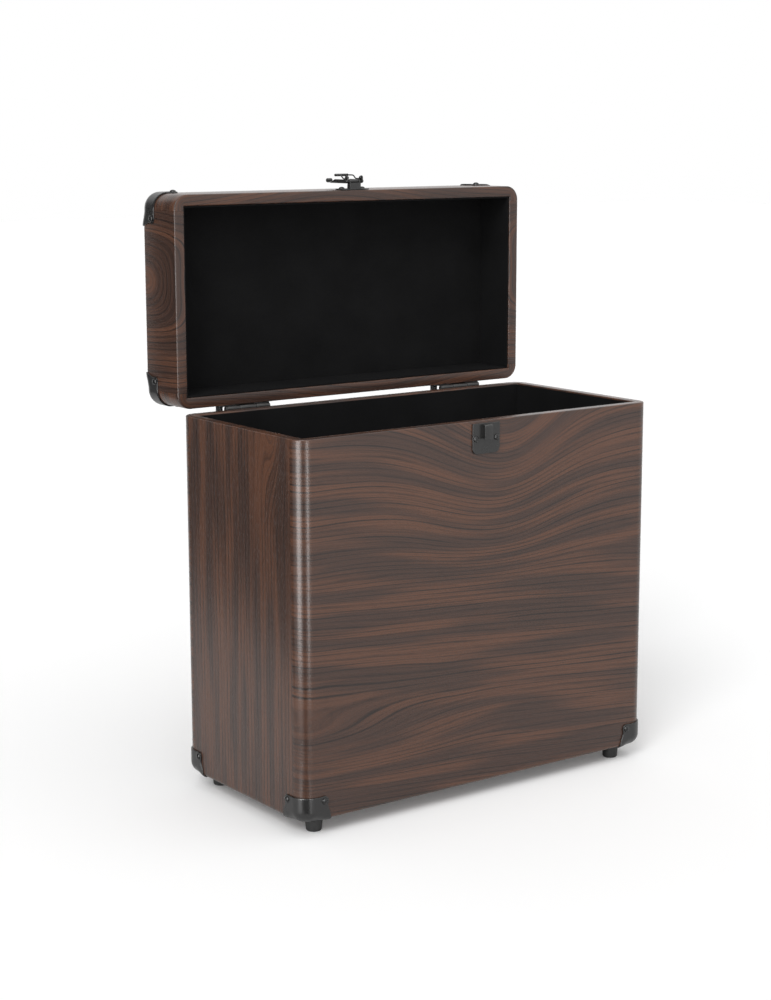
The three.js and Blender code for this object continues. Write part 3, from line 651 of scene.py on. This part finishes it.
def sheet_faces(made, loop, spots, point, place):
    """A stamped sheet inside a loop, with rounded rims and more corners at the spots:
    point(u, v, out) gives its skin at a height out of the wood."""
    rim_width, rim_drop = 0.0003, 0.00022
    loop = anticlockwise(loop)
    inner = inset(loop, rim_width)
    count = len(loop)
    edges = [(k, (k + 1) % count) for k in range(count)]
    edges += [(a + count, b + count) for a, b in edges]
    flat = [Vector(p) for p in loop + inner + spots]
    verts, _, faces, origins, _, _ = delaunay_2d_cdt(flat, edges, [], 1, 1e-9)
    rim = {k for k, sources in enumerate(origins) if any(s < count for s in sources)}
    outs = [proud - (rim_drop if k in rim else 0) for k in range(len(verts))]
    top = [made.verts.new(place(*point(*v, out))) for v, out in zip(verts, outs)]
    low = [made.verts.new(place(*point(*v, seat))) for v in verts]
    for face in faces:
        made.faces.new([top[k] for k in face])
        made.faces.new([low[k] for k in reversed(face)])
    sides = dict.fromkeys(side for face in faces for side in zip(face, face[1:] + face[:1]))
    for a, b in sides:
        if (b, a) not in sides:
            made.faces.new((top[b], top[a], low[a], low[b]))


def protector(name, part, lay, side_x, side_y):
    def place(across, back, rise):
        return lay(side_x * (half_width - across), side_y * (half_depth - back), rise)

    end_run = arc_half + plate_reach - corner_round
    flare = [(0.977, 0.15), (0.93, 0.39), (0.87, 0.58)]
    edge = [(plate_reach, plate_foot)]
    edge += [(u * plate_reach, v * plate_rise) for u, v in flare]
    edge += arc(ear_out, ear_up, ear_radius, -20, 105, 12)
    edge += [(0.56 * plate_reach, 0.985 * plate_rise), (corner_round, plate_rise)]
    right = [(arc_half + u - corner_round, v) for u, v in edge]
    steps = 12
    middle = [(arc_half * (1 - 2 * k / steps), plate_rise) for k in range(1, steps)]
    border = [(run, climb_at(run, rise)) for run, rise in right + middle]
    border += [(-run, climb_at(run, rise)) for run, rise in reversed(right)]
    columns, rows = 40, 24
    foot_runs = [end_run * (2 * k / columns - 1) for k in range(columns + 1)]
    border += [(run, 0) for run in foot_runs]
    within, lowest, span_up = 0.985, 0.0007, 0.0235
    climbs = [lowest + span_up * k / rows for k in range(rows + 1)]
    spots = [(run * within, climb) for run in foot_runs for climb in climbs]
    made = bmesh.new()
    sheet_faces(made, border, spots, skin_point, place)
    hollow = [(1, 0.13), (0.84, 0.18), (0.66, 0.28), (0.48, 0.42)]
    hollow = [(u * plate_reach, v * plate_reach) for u, v in hollow]
    hollow += [(v, u) for u, v in reversed(hollow)]
    start = [path_point(run, 0, radius_at(run)) for run in foot_runs]
    sheet_faces(made, start + hollow, [], lambda u, v, out: (u, v, -out), place)
    # Skin and end plate are one sheet of steel, so the two rims between them are taken out.
    bmesh.ops.remove_doubles(made, verts=made.verts, dist=weld)
    rims = [f for f in made.faces if sum(len(e.link_faces) > 2 for e in f.edges) > 1]
    bmesh.ops.delete(made, geom=rims, context="FACES_ONLY")
    bmesh.ops.holes_fill(made, edges=made.edges, sides=4)
    steel(made, name, part)
    for across, back, aside, behind in ((ear_out, -proud, 0, 1), (-proud, ear_out, 1, 0)):
        here = place(across, back, ear_up)
        beyond = place(across - aside, back - behind, ear_up)
        nails[part].append((here, (beyond - here).normalized(), nail_radius))


case_corners = {
    "front_left": (-1, -1),
    "front_right": (1, -1),
    "rear_left": (-1, 1),
    "rear_right": (1, 1),
}
for part, lay in (("body", on_body), ("lid", on_lid)):
    for corner, sides in case_corners.items():
        protector(f"{part}_corner_{corner}", part, lay, *sides)


# Catch of the draw latch: a black plate nailed to the front below the rim, with a strip bent
# out and down over the place of the claw's bar.
thin_edge, plate_edge, rod_edge = 0.00018, 0.0003, 0.0001


def band(made, under, over):
    """Faces between two rings of as many corners."""
    for k in range(len(under)):
        made.faces.new((under[k - 1], under[k], over[k], over[k - 1]))


def slab(made, outline, low, high, place, rounding=thin_edge, holes=(), steps=2):
    """A plate or rod: its outline pushed from low to high, with rounded edges and bored holes.
    Its end faces begin a little inside the rounding."""
    loops = [anticlockwise(outline)] + [list(reversed(hole)) for hole in holes]
    levels = [(1.15 * rounding, low)]
    for k in range(steps + 1):
        turn = math.pi / 2 * k / steps
        levels.append((rounding * (1 - math.sin(turn)), low + rounding * (1 - math.cos(turn))))
    levels += [(step, low + high - level) for step, level in reversed(levels)]
    stacks = []
    for loop in loops:
        rings = []
        for step, level in levels:
            drawn = inset(loop, step) if step > 0 else loop
            rings.append([made.verts.new(place(u, v, level)) for u, v in drawn])
        for under, over in zip(rings, rings[1:]):
            band(made, under, over)
        stacks.append(rings)
    flat = [[Vector((*p, 0)) for p in inset(loop, levels[0][0])] for loop in loops]
    for end in (0, -1):
        corners = [corner for rings in stacks for corner in rings[end]]
        for face in tessellate_polygon(flat):
            made.faces.new([corners[k] for k in face])


def disc(across, up, radius, sides=28):
    return arc(across, up, radius, 0, 360 - 360 / sides, sides - 1)


def sideways(place):
    """For a slab whose outline is seen from the side: it is pushed along x."""
    return lambda u, v, x: place(x, u, v)


def outwards(place):
    """For a slab whose outline is seen from the front or rear: it is pushed out of the wall."""
    return lambda x, v, out: place(x, out, v)


def on_front(x, out, rise):
    """A point of the body's front: across, out of the wall and up."""
    return on_body(x, -half_depth - out, rise)


catch_top = body_height - 0.002
catch_bottom = catch_top - 0.024
catch_half, catch_round = 0.0135, 0.0045
hook_half, hook_out, hook_inner = 0.004, 0.0047, 0.0041
hook_top, hook_roof, hook_end = catch_top - 0.001, catch_top - 0.01125, catch_top - 0.0127
hook_bend, hook_shoulder, hook_lip, hook_edge = 0.0006, 0.0018, 0.00045, 0.00012
latch_nail_spread = 0.0103
made = bmesh.new()
round_left, round_right = -catch_half + catch_round, catch_half - catch_round
round_up = catch_bottom + catch_round
outline = [(catch_half, catch_top), (-catch_half, catch_top)]
outline += arc(round_left, round_up, catch_round, 180, 270, 8)
outline += arc(round_right, round_up, catch_round, 270, 360, 8)
slab(made, outline, seat, proud, outwards(on_front), plate_edge)
outline = [(seat + sheet / 2, hook_top), (seat + sheet / 2, hook_roof)]
outline += arc(hook_inner - hook_bend, hook_roof - hook_bend, hook_bend, 90, 0, 4)
outline += [(hook_inner, hook_end), (hook_inner + hook_lip, hook_end)]
outline += [(hook_out, hook_end + hook_bend)]
outline += arc(hook_out - hook_shoulder, hook_top - hook_shoulder, hook_shoulder, 0, 90, 6)
slab(made, outline, -hook_half, hook_half, sideways(on_front), hook_edge)
steel(made, "latch_catch", "body")
for side in (-1, 1):
    spot = on_front(side * latch_nail_spread, proud, (catch_top + catch_bottom) / 2)
    nails["body"].append((spot, Vector((0, -1, 0)), nail_radius))


# Base of the draw latch: a nailed plate on the lid's front, from which two ears and a face are
# bent up as a bracket. The lever's pin runs through the ears, in a rolled barrel between them.
joint_spots = {joint["name"]: Vector(joint["pos_m"]) for joint in frame["joints"]}
latch = joint_spots["latch_lever_hinge"]
latch_rise = 0.0074
plate_low, plate_high = seat - latch_rise, proud - latch_rise
base_low, base_high, base_round = -0.0025, 0.009, 0.002
bracket_half, bracket_reach, bracket_top = 0.0055, 0.0022, -0.0012
ear_round, ear_foot, face_foot = 0.0016, plate_low + 0.0005, plate_low + 0.0004
pin_bore, pin_round, pin_half = 0.0009, 0.0008, 0.0084
barrel_round, barrel_half, barrel_edge = 0.00135, 0.0042, 0.0002
pin_head_near, pin_head_far, pin_head_round, pin_head_edge = 0.00825, 0.0089, 0.0014, 0.00025
overlap = 0.00001


def on_latch(x, back, rise):
    """A point by the latch: across, back from the lever's axis and up from it."""
    return latch + Vector((x, back, rise))


def span(side, near, far):
    """Low and high end of a stretch along x on one side of the middle."""
    return sorted((side * near, side * far))


across_latch = sideways(on_latch)
made = bmesh.new()
outline = [(-catch_half, base_low), (catch_half, base_low)]
outline += arc(catch_half - base_round, base_high - base_round, base_round, 0, 90, 6)
outline += arc(-catch_half + base_round, base_high - base_round, base_round, 90, 180, 6)
slab(made, outline, plate_low, plate_high, on_latch, plate_edge)
outline = [(-bracket_reach, ear_foot), (bracket_reach, ear_foot)]
outline += arc(0, 0, ear_round, 0, 180, 12) + [(-bracket_reach, -ear_round)]
for near in (-bracket_half, bracket_half - sheet):
    slab(made, outline, near, near + sheet, across_latch, holes=[disc(0, 0, pin_bore)])
front, back = -bracket_reach - overlap, -bracket_reach + sheet
outline = [(front, face_foot), (back, face_foot), (back, bracket_top), (front, bracket_top)]
slab(made, outline, -bracket_half - overlap, bracket_half + overlap, across_latch)
steel(made, "latch_base", "lid")
for side in (-1, 1):
    spot = on_latch(side * latch_nail_spread, (base_low + base_high) / 2, plate_high)
    nails["lid"].append((spot, Vector((0, 0, 1)), nail_radius))

made = bmesh.new()
slab(made, disc(0, 0, pin_round), -pin_half, pin_half, across_latch, rod_edge)
slab(made, disc(0, 0, barrel_round), -barrel_half, barrel_half, across_latch, barrel_edge)
for side in (-1, 1):
    ends = span(side, pin_head_near, pin_head_far)
    slab(made, disc(0, 0, pin_head_round), *ends, across_latch, pin_head_edge)
steel(made, "latch_lever_pin", "lid")


# Lever of the draw latch: a stamped channel whose cheeks turn on the pin, with a web between
# them that narrows to a neck with a rolled tip. It is thrown back over the lid.
lever_length, lever_drop, lever_half = 0.0362, 0.0018, 0.0081
claw_throw, claw_bore, head_round = 0.0028, 0.0008, 0.0018
cheek_end, cheek_slope = 0.6 * lever_length, 0.46 * lever_length
cheek_top, cheek_head = 0.0014, 0.0019
web_start, tip_half = 0.0043, 0.0026
shoulder_start, shoulder_end = 0.62 * lever_length, 0.82 * lever_length
roll_round, roll_edge = 0.00175, 0.0007
made = bmesh.new()
cheek = [(0, -lever_drop), (cheek_end, -lever_drop), (cheek_end, sheet - lever_drop)]
cheek += [(cheek_slope, cheek_top), (2 * head_round, cheek_top), (head_round, cheek_head)]
cheek += arc(0, claw_throw, head_round, 0, 180, 16) + arc(0, 0, head_round, 180, 270, 8)[:-1]
bores = [disc(0, 0, pin_bore), disc(0, claw_throw, claw_bore)]
for near in (-lever_half, lever_half - sheet):
    slab(made, cheek, near, near + sheet, across_latch, holes=bores)
edge = [(lever_half + overlap, web_start)]
for k in range(11):
    share = k / 10
    narrowing = share * share * (3 - 2 * share) * (lever_half - tip_half)
    back = shoulder_start + share * (shoulder_end - shoulder_start)
    edge.append((lever_half + overlap - narrowing, back))
edge.append((tip_half, lever_length))
web = edge + [(-x, back) for x, back in reversed(edge)]
slab(made, web, -lever_drop - overlap, sheet - lever_drop, on_latch)
roll = disc(lever_length, roll_round - lever_drop, roll_round)
slab(made, roll, -tip_half, tip_half, across_latch, roll_edge, steps=5)
steel(made, "latch_lever", "latch_lever")


# Claw of the draw latch: bent wire whose eyes turn in the lever's cheeks, with two waved arms
# and the cross bar that catches the hook.
def wire(made, path, radius, sides=16):
    """A rod bent along a path of points that all lie in one plane across x."""
    aside = Vector((1, 0, 0))
    rings = []
    for k, here in enumerate(path):
        ahead, behind = path[min(k + 1, len(path) - 1)], path[max(k - 1, 0)]
        over = (ahead - behind).normalized().cross(aside).normalized()
        ring = []
        for turn in range(sides):
            angle = 2 * math.pi * turn / sides
            step = (aside * math.cos(angle) + over * math.sin(angle)) * radius
            ring.append(made.verts.new(here + step))
        rings.append(ring)
    for under, over in zip(rings, rings[1:]):
        band(made, under, over)
    made.faces.new(rings[0])
    made.faces.new(rings[-1])


claw_length, claw_dip, bar_level = 0.0182, 0.0019, 0.0047
arm_at, arm_round = 0.0063, 0.00056
bar_round, bar_edge = 0.0011, 0.0005
eye_round, eye_half, trunnion_round = 0.0013, 0.0005, 0.0007
bends = [(0, claw_throw), (0.0015, 0.0021), (0.0045, claw_dip), (0.0068, 0.0023)]
bends += [(0.0095, 0.0043), (0.0118, bar_level), (0.015, bar_level), (claw_length, bar_level)]
last, steps = len(bends) - 1, 6
path = []
for k in range(last):
    spots = bends[max(k - 1, 0)], bends[k], bends[k + 1], bends[min(k + 2, last)]
    before, here, after, beyond = (Vector(spot) for spot in spots)
    slope, bow = after - before, before * 2 - here * 5 + after * 4 - beyond
    sway = here * 3 - before - after * 3 + beyond
    for t in (step / steps for step in range(steps)):
        path.append((here * 2 + slope * t + bow * t * t + sway * t ** 3) / 2)
path.append(Vector(bends[-1]))
made = bmesh.new()
for side in (-1, 1):
    wire(made, [on_latch(side * arm_at, *spot) for spot in path], arm_round)
    ends = span(side, arm_at - eye_half, arm_at + eye_half)
    slab(made, disc(0, claw_throw, eye_round), *ends, across_latch, plate_edge, steps=3)
    ends = span(side, arm_at, pin_half)
    slab(made, disc(0, claw_throw, trunnion_round), *ends, across_latch, rod_edge)
bar, bar_half = disc(claw_length, bar_level, bar_round), arm_at + eye_half
slab(made, bar, -bar_half, bar_half, across_latch, bar_edge, steps=4)
steel(made, "latch_claw", "latch_claw")


# Rear hinges: two stamped butt hinges with pins, whose body leaves have a lug bent out at each
# end on which the open lid comes to rest.
hinge_middles = {"left": -0.11, "right": 0.11}
leaf_half, leaf_length, leaf_round, leaf_edge = 0.023, 0.026, 0.003, 0.0002
leaf_low, leaf_high = -0.00255, -0.00155
knuckle_round, knuckle_clear, knuckle_bore, knuckle_edge = 0.0023, 0.0026, 0.00115, 0.00025
hinge_half, knuckle_width, knuckle_gap = 0.02, 0.012, 0.00035
tab_low, tab_high = 0.0011, 0.0016
lug_reach, lug_width, lug_landing = 0.012, 0.003, 0.00125
lug_near, lug_far = 0.0078, 0.0195
hinge_pin_round, hinge_pin_half = 0.00105, 0.021
hinge_head_near, hinge_head_far, head_edge = 0.0201, 0.0211, 0.0004
hinge_nail_x, hinge_nail_away, small_nail_radius = 0.01333, 0.01733, 0.002
for side, middle in hinge_middles.items():
    def on_body_leaf(x, out, down):
        return Vector((middle + x, hinge.y + out, hinge.z - down))

    def on_lid_leaf(x, out, up):
        return Vector((middle + x, hinge.y + up, hinge.z - out))

    for part, lay in (("body", on_body_leaf), ("lid", on_lid_leaf)):
        made = bmesh.new()
        plate = [(-leaf_half, knuckle_clear), (leaf_half, knuckle_clear)]
        plate += arc(leaf_half - leaf_round, leaf_length - leaf_round, leaf_round, 0, 90, 6)
        plate += arc(leaf_round - leaf_half, leaf_length - leaf_round, leaf_round, 90, 180, 6)
        slab(made, plate, leaf_low, leaf_high, outwards(lay), leaf_edge)
        inner = hinge_half - knuckle_width
        spans = [(-hinge_half, -inner), (inner, hinge_half)]
        if part == "lid":
            spans = [(-inner + knuckle_gap, inner - knuckle_gap)]
        tab_foot = knuckle_clear + sheet
        tab = [(leaf_low, tab_low), (leaf_high, tab_high), (leaf_high, tab_foot)]
        tab += [(leaf_low, tab_foot)]
        knuckle, bore = disc(0, 0, knuckle_round, 32), disc(0, 0, knuckle_bore)
        for near, far in spans:
            slab(made, tab, near, far, sideways(lay), rod_edge)
            slab(made, knuckle, near, far, sideways(lay), knuckle_edge, holes=[bore])
        if part == "body":
            lug_back = knuckle_clear + lug_width
            lug = [(leaf_low, lug_far), (leaf_high, lug_far), (lug_reach, knuckle_clear)]
            lug += [(lug_reach, -lug_landing), (lug_back, -lug_landing)]
            lug += [(lug_back, knuckle_clear), (leaf_high, lug_near), (leaf_low, lug_near)]
            for near in (-leaf_half - overlap, hinge_half):
                far = near + lug_width + overlap
                slab(made, lug, near, far, sideways(lay), plate_edge)
        steel(made, f"hinge_{part}_leaf_{side}", part)
        for end in (-1, 1):
            spot = lay(end * hinge_nail_x, leaf_high, hinge_nail_away)
            beyond = lay(end * hinge_nail_x, 0, hinge_nail_away)
            nails[part].append((spot, (beyond - spot).normalized(), small_nail_radius))
    made = bmesh.new()
    across_leaf = sideways(on_body_leaf)
    slab(made, disc(0, 0, hinge_pin_round), -hinge_pin_half, hinge_pin_half, across_leaf, rod_edge)
    for end in (-1, 1):
        ends = span(end, hinge_head_near, hinge_head_far)
        slab(made, disc(0, 0, knuckle_round), *ends, across_leaf, head_edge, steps=4)
    steel(made, f"hinge_pin_{side}", "body")


# Carrying handle: a moulded bail that lies on the lid's roof and swings on two pins, each held
# by a bracket with two lugs that is nailed to the roof.
handle = joint_spots["handle_hinge"]
arm_middle, arm_half, arm_start = 0.0576, 0.004, -0.001
grip_inner, grip_outer = 0.020, 0.034
grip_half, grip_round, grip_corner, fillet = 0.005, 0.0024, 0.009, 0.0035
lug_round, lug_narrower, lug_sunk, lug_starts = 0.0045, 0.0004, 0.0005, (0.0522, 0.062)
bracket_near, bracket_far, bracket_wide, bracket_round = 0.0522, 0.0736, 0.008, 0.003
roof_low, roof_high = -0.007, -0.006
handle_pin_round, handle_bore = 0.0016, 0.0017
handle_pin_near, handle_pin_far, handle_head_near = 0.0518, 0.0634, 0.0508
handle_nail_x, handle_nail_down = 0.0683, 0.004


def on_handle(x, down, out):
    """A point by the handle: across, down the roof from its pins and out from them."""
    return handle + Vector((x, out, -down))


moulding = Finish("black_moulding")
x, y, z = moulding.place()
grain = moulding.noise(x * 1.3, y * 1.3, z * 1.3, detail=3)
patch = moulding.noise(x / 12, y / 12, z / 12)
blacks = (0.016, 0.016, 0.017), (0.026, 0.026, 0.027)
moulding.feed("Base Color", moulding.blend(grain.rise(0.3, 0.7), *blacks))
moulding.feed("Roughness", 0.42 + patch * 0.16)
moulding.bump(grain, 0.00012)

arm_low = arm_middle - arm_half
turn_x, turn_down = arm_middle + arm_half - grip_corner, grip_outer - grip_corner
grip = arc(arm_middle, arm_start, arm_half, 180, 360, 16)
grip += arc(turn_x, turn_down, grip_corner, 0, 90, 12)
grip += arc(-turn_x, turn_down, grip_corner, 90, 180, 12)
grip += arc(-arm_middle, arm_start, arm_half, 180, 360, 16)
grip += arc(fillet - arm_low, grip_inner - fillet, fillet, 180, 90, 6)
grip += arc(arm_low - fillet, grip_inner - fillet, fillet, 90, 0, 6)
made = bmesh.new()
slab(made, grip, -grip_half, grip_half, on_handle, grip_round, steps=7)
dress(keep(made, "handle_grip", 50), moulding, "black_moulding", "handle", "handle_grip")

across_handle = sideways(on_handle)
for side, name in ((-1, "left"), (1, "right")):
    made = bmesh.new()
    near, far = bracket_far - bracket_round, bracket_wide - bracket_round
    plate = [(bracket_near, -bracket_wide)] + arc(near, -far, bracket_round, 270, 360, 6)
    plate += arc(near, far, bracket_round, 0, 90, 6) + [(bracket_near, bracket_wide)]
    plate = [(side * u, v) for u, v in plate]
    slab(made, plate, roof_low, roof_high, on_handle, plate_edge)
    foot, wide = roof_high - lug_sunk, bracket_wide - lug_narrower
    lug = [(-wide, foot), (wide, foot)] + arc(0, 0, lug_round, 0, 180, 16)
    for start in lug_starts:
        ends = span(side, start, start + sheet)
        slab(made, lug, *ends, across_handle, holes=[disc(0, 0, handle_bore)])
    steel(made, f"handle_bracket_{name}", "lid")
    made = bmesh.new()
    ends = span(side, handle_pin_near, handle_pin_far)
    slab(made, disc(0, 0, handle_pin_round), *ends, across_handle, rod_edge)
    for start in (handle_head_near, handle_pin_far):
        ends, head = span(side, start, start + sheet), disc(0, 0, 2 * handle_pin_round, 36)
        slab(made, head, *ends, across_handle, head_edge, steps=4)
    steel(made, f"handle_pin_{name}", "lid")
    for end in (-1, 1):
        spot = on_handle(side * handle_nail_x, end * handle_nail_down, roof_high)
        nails["lid"].append((spot, Vector((0, 1, 0)), small_nail_radius))


# Dome nails: forged black heads that hold every plate, driven in by hand, so that each sits a
# little askew, and glossier than the plates. One tree of nodes sets them for body and lid.
nail_lacquer = Finish("nail_lacquer")
x, y, z = nail_lacquer.place()
dent = nail_lacquer.noise(x * 0.8, y * 0.8, z * 0.8, detail=1)
rub = nail_lacquer.noise(x / 2, y / 2, z / 2)
blacks = (0.006, 0.006, 0.006), (0.013, 0.013, 0.0127)
nail_lacquer.feed("Base Color", nail_lacquer.blend(rub.rise(0.35, 0.65), *blacks))
nail_lacquer.feed("Roughness", 0.09 + rub * 0.1)
nail_lacquer.bump(dent, 0.00003)
nail_inputs = {
    "Spots": ("Geometry", None),
    "Rise": ("Float", 0.6),
    "Sink": ("Float", 0.2),
    "Askew": ("Float", 0.05),
    "Seed": ("Int", 4),
    "Finish": ("Material", nail_lacquer.material),
}
nail_tree = bpy.data.node_groups.new("dome_nails", "GeometryNodeTree")
for name, (kind, _) in nail_inputs.items():
    nail_tree.interface.new_socket(name, in_out="INPUT", socket_type=f"NodeSocket{kind}")
nail_tree.interface.new_socket("Nails", in_out="OUTPUT", socket_type="NodeSocketGeometry")


def nail_node(kind, settings=None, sockets=None):
    """The outputs of a new node in the nails' tree."""
    return add_node(nail_tree, kind, settings, sockets).outputs


times, largest = {"operation": "MULTIPLY"}, {"operation": "MAXIMUM"}
vectors, numbers = {"data_type": "FLOAT_VECTOR"}, {"data_type": "FLOAT"}
given = nail_node("NodeGroupInput")
ball = nail_node("GeometryNodeMeshUVSphere", None, {"Segments": 32, "Rings": 20, "Radius": 1})
parts = nail_node("ShaderNodeSeparateXYZ", None, {0: nail_node("GeometryNodeInputPosition")[0]})
squash = nail_node("ShaderNodeMath", times, {0: parts[2], 1: given["Rise"]})[0]
below = nail_node("ShaderNodeMath", times, {0: given["Sink"], 1: -1})[0]
level = nail_node("ShaderNodeMath", largest, {0: squash, 1: below})[0]
shape = nail_node("ShaderNodeCombineXYZ", None, {0: parts[0], 1: parts[1], 2: level})[0]
dome = nail_node("GeometryNodeSetPosition", None, {"Geometry": ball["Mesh"], "Position": shape})[0]
out = nail_node("GeometryNodeInputNamedAttribute", vectors, {"Name": "out"})["Attribute"]
size = nail_node("GeometryNodeInputNamedAttribute", numbers, {"Name": "size"})["Attribute"]
upright = nail_node("FunctionNodeAlignRotationToVector", {"axis": "Z"}, {"Vector": out})[0]
least = nail_node("ShaderNodeMath", times, {0: given["Askew"], 1: -1})[0]
low = nail_node("ShaderNodeCombineXYZ", None, {0: least, 1: least})[0]
high = nail_node("ShaderNodeCombineXYZ", None, {0: given["Askew"], 1: given["Askew"]})[0]
limits = {0: low, 1: high, "Seed": given["Seed"]}
lean = nail_node("FunctionNodeRandomValue", vectors, limits)["Value"]
lean = nail_node("FunctionNodeEulerToRotation", None, {"Euler": lean})[0]
own = {"rotation_space": "LOCAL"}
stance = nail_node("FunctionNodeRotateRotation", own, {0: upright, 1: lean})[0]
setting = {"Points": given["Spots"], "Instance": dome, "Rotation": stance, "Scale": size}
heads = nail_node("GeometryNodeInstanceOnPoints", None, setting)[0]
heads = nail_node("GeometryNodeRealizeInstances", None, {"Geometry": heads})[0]
heads = nail_node("GeometryNodeSetShadeSmooth", None, {"Geometry": heads})[0]
lacquered = {"Geometry": heads, "Material": given["Finish"]}
heads = nail_node("GeometryNodeSetMaterial", None, lacquered)[0]
nail_node("NodeGroupOutput", None, {0: heads})

for part, spots in nails.items():
    points = bpy.data.meshes.new(f"{part}_nail_spots")
    points.from_pydata([spot for spot, _, _ in spots], [], [])
    points.attributes.new("out", "FLOAT_VECTOR", "POINT")
    points.attributes.new("size", "FLOAT", "POINT")
    for k, (_, normal, radius) in enumerate(spots):
        points.attributes["out"].data[k].vector = normal
        points.attributes["size"].data[k].value = radius
    setter = add_object(f"{part}_nail_setter", points)
    modifier = setter.modifiers.new("nails", "NODES")
    modifier.node_group = nail_tree
    for item in nail_tree.interface.items_tree:
        value = nail_inputs[item.name][1] if item.in_out == "INPUT" else None
        if value is not None:
            modifier[item.identifier] = value
    bpy.context.view_layer.update()
    ready = setter.evaluated_get(bpy.context.evaluated_depsgraph_get())
    heads_mesh = bpy.data.meshes.new_from_object(ready)
    setter.modifiers.clear()
    bpy.data.objects.remove(setter)
    dress(add_object(f"{part}_nails", heads_mesh), nail_lacquer, "black_steel", part)


# Feet: tapered black rubber bumpers with a well for the screw that holds each to the floor of
# the body, and the pan-headed screws in them, with a cross recess.
rubber = Finish("black_rubber")
x, y, z = rubber.place()
bloom = rubber.noise(x / 3, y / 3, z / 3, detail=3)
speck = rubber.noise(x * 3, y * 3, z * 3)
blacks = (0.014, 0.014, 0.014), (0.024, 0.0235, 0.023)
rubber.feed("Base Color", rubber.blend(bloom.rise(0.3, 0.7), *blacks))
rubber.feed("Roughness", 0.5 + bloom * 0.2)
rubber.bump(speck, 0.00005)


def turned(made, profile, place, sides=48):
    """A piece turned about an upright axis from a closed profile of (radius, height)."""
    rings = []
    for radius, height in profile:
        angles = [2 * math.pi * k / sides for k in range(sides)]
        ring = [(radius * math.cos(angle), radius * math.sin(angle)) for angle in angles]
        rings.append([made.verts.new(place(*spot, height)) for spot in ring])
    for under, over in zip(rings, rings[1:] + rings[:1]):
        band(made, under, over)


foot_inset_x, foot_inset_y = 0.0215, 0.017
foot_drop, foot_top, foot_base = 0.013, 0.0072, 0.0062
mouth_edge, base_edge, top_edge = 0.0003, 0.0014, 0.0006
well_round, well_depth, foot_bore = 0.0035, 0.0042, 0.0019
well_floor = well_depth - foot_drop
screw_head, screw_round, screw_end = 0.0032, 0.0016, 0.006
head_low, head_high, head_round = well_floor - 0.0021, well_floor - 0.0003, 0.00035
recess_floor = head_high - 0.0009
cross_arm, cross_half = 0.00145, 0.00022
cross = [(cross_arm, -cross_half), (cross_arm, cross_half), (cross_half, cross_half)]
for quarter in range(3):
    cross += [(-y, x) for x, y in cross[-3:]]
for corner, (side_x, side_y) in case_corners.items():
    across, back = side_x * (half_width - foot_inset_x), side_y * (half_depth - foot_inset_y)
    middle = on_body(across, back, 0)

    def on_foot(x, y, z):
        return middle + Vector((x, y, z))

    made = bmesh.new()
    profile = [(foot_bore, -seat), (foot_bore, well_floor), (well_round, well_floor)]
    profile += arc(well_round + mouth_edge, mouth_edge - foot_drop, mouth_edge, 180, 270, 3)
    profile += arc(foot_base - base_edge, base_edge - foot_drop, base_edge, 270, 355, 6)
    profile += arc(foot_top - top_edge, -seat - top_edge, top_edge, -5, 90, 5)
    turned(made, profile, on_foot)
    name = f"foot_{corner}"
    dress(keep(made, name, 40), rubber, "black_rubber", "body", name)
    made = bmesh.new()
    head = disc(0, 0, screw_head, 40)
    slab(made, head, head_low, head_high, on_foot, head_round, holes=[cross], steps=4)
    slab(made, disc(0, 0, screw_round), recess_floor, screw_end, on_foot, rod_edge)
    steel(made, f"foot_screw_{corner}", "body", sharp=40)
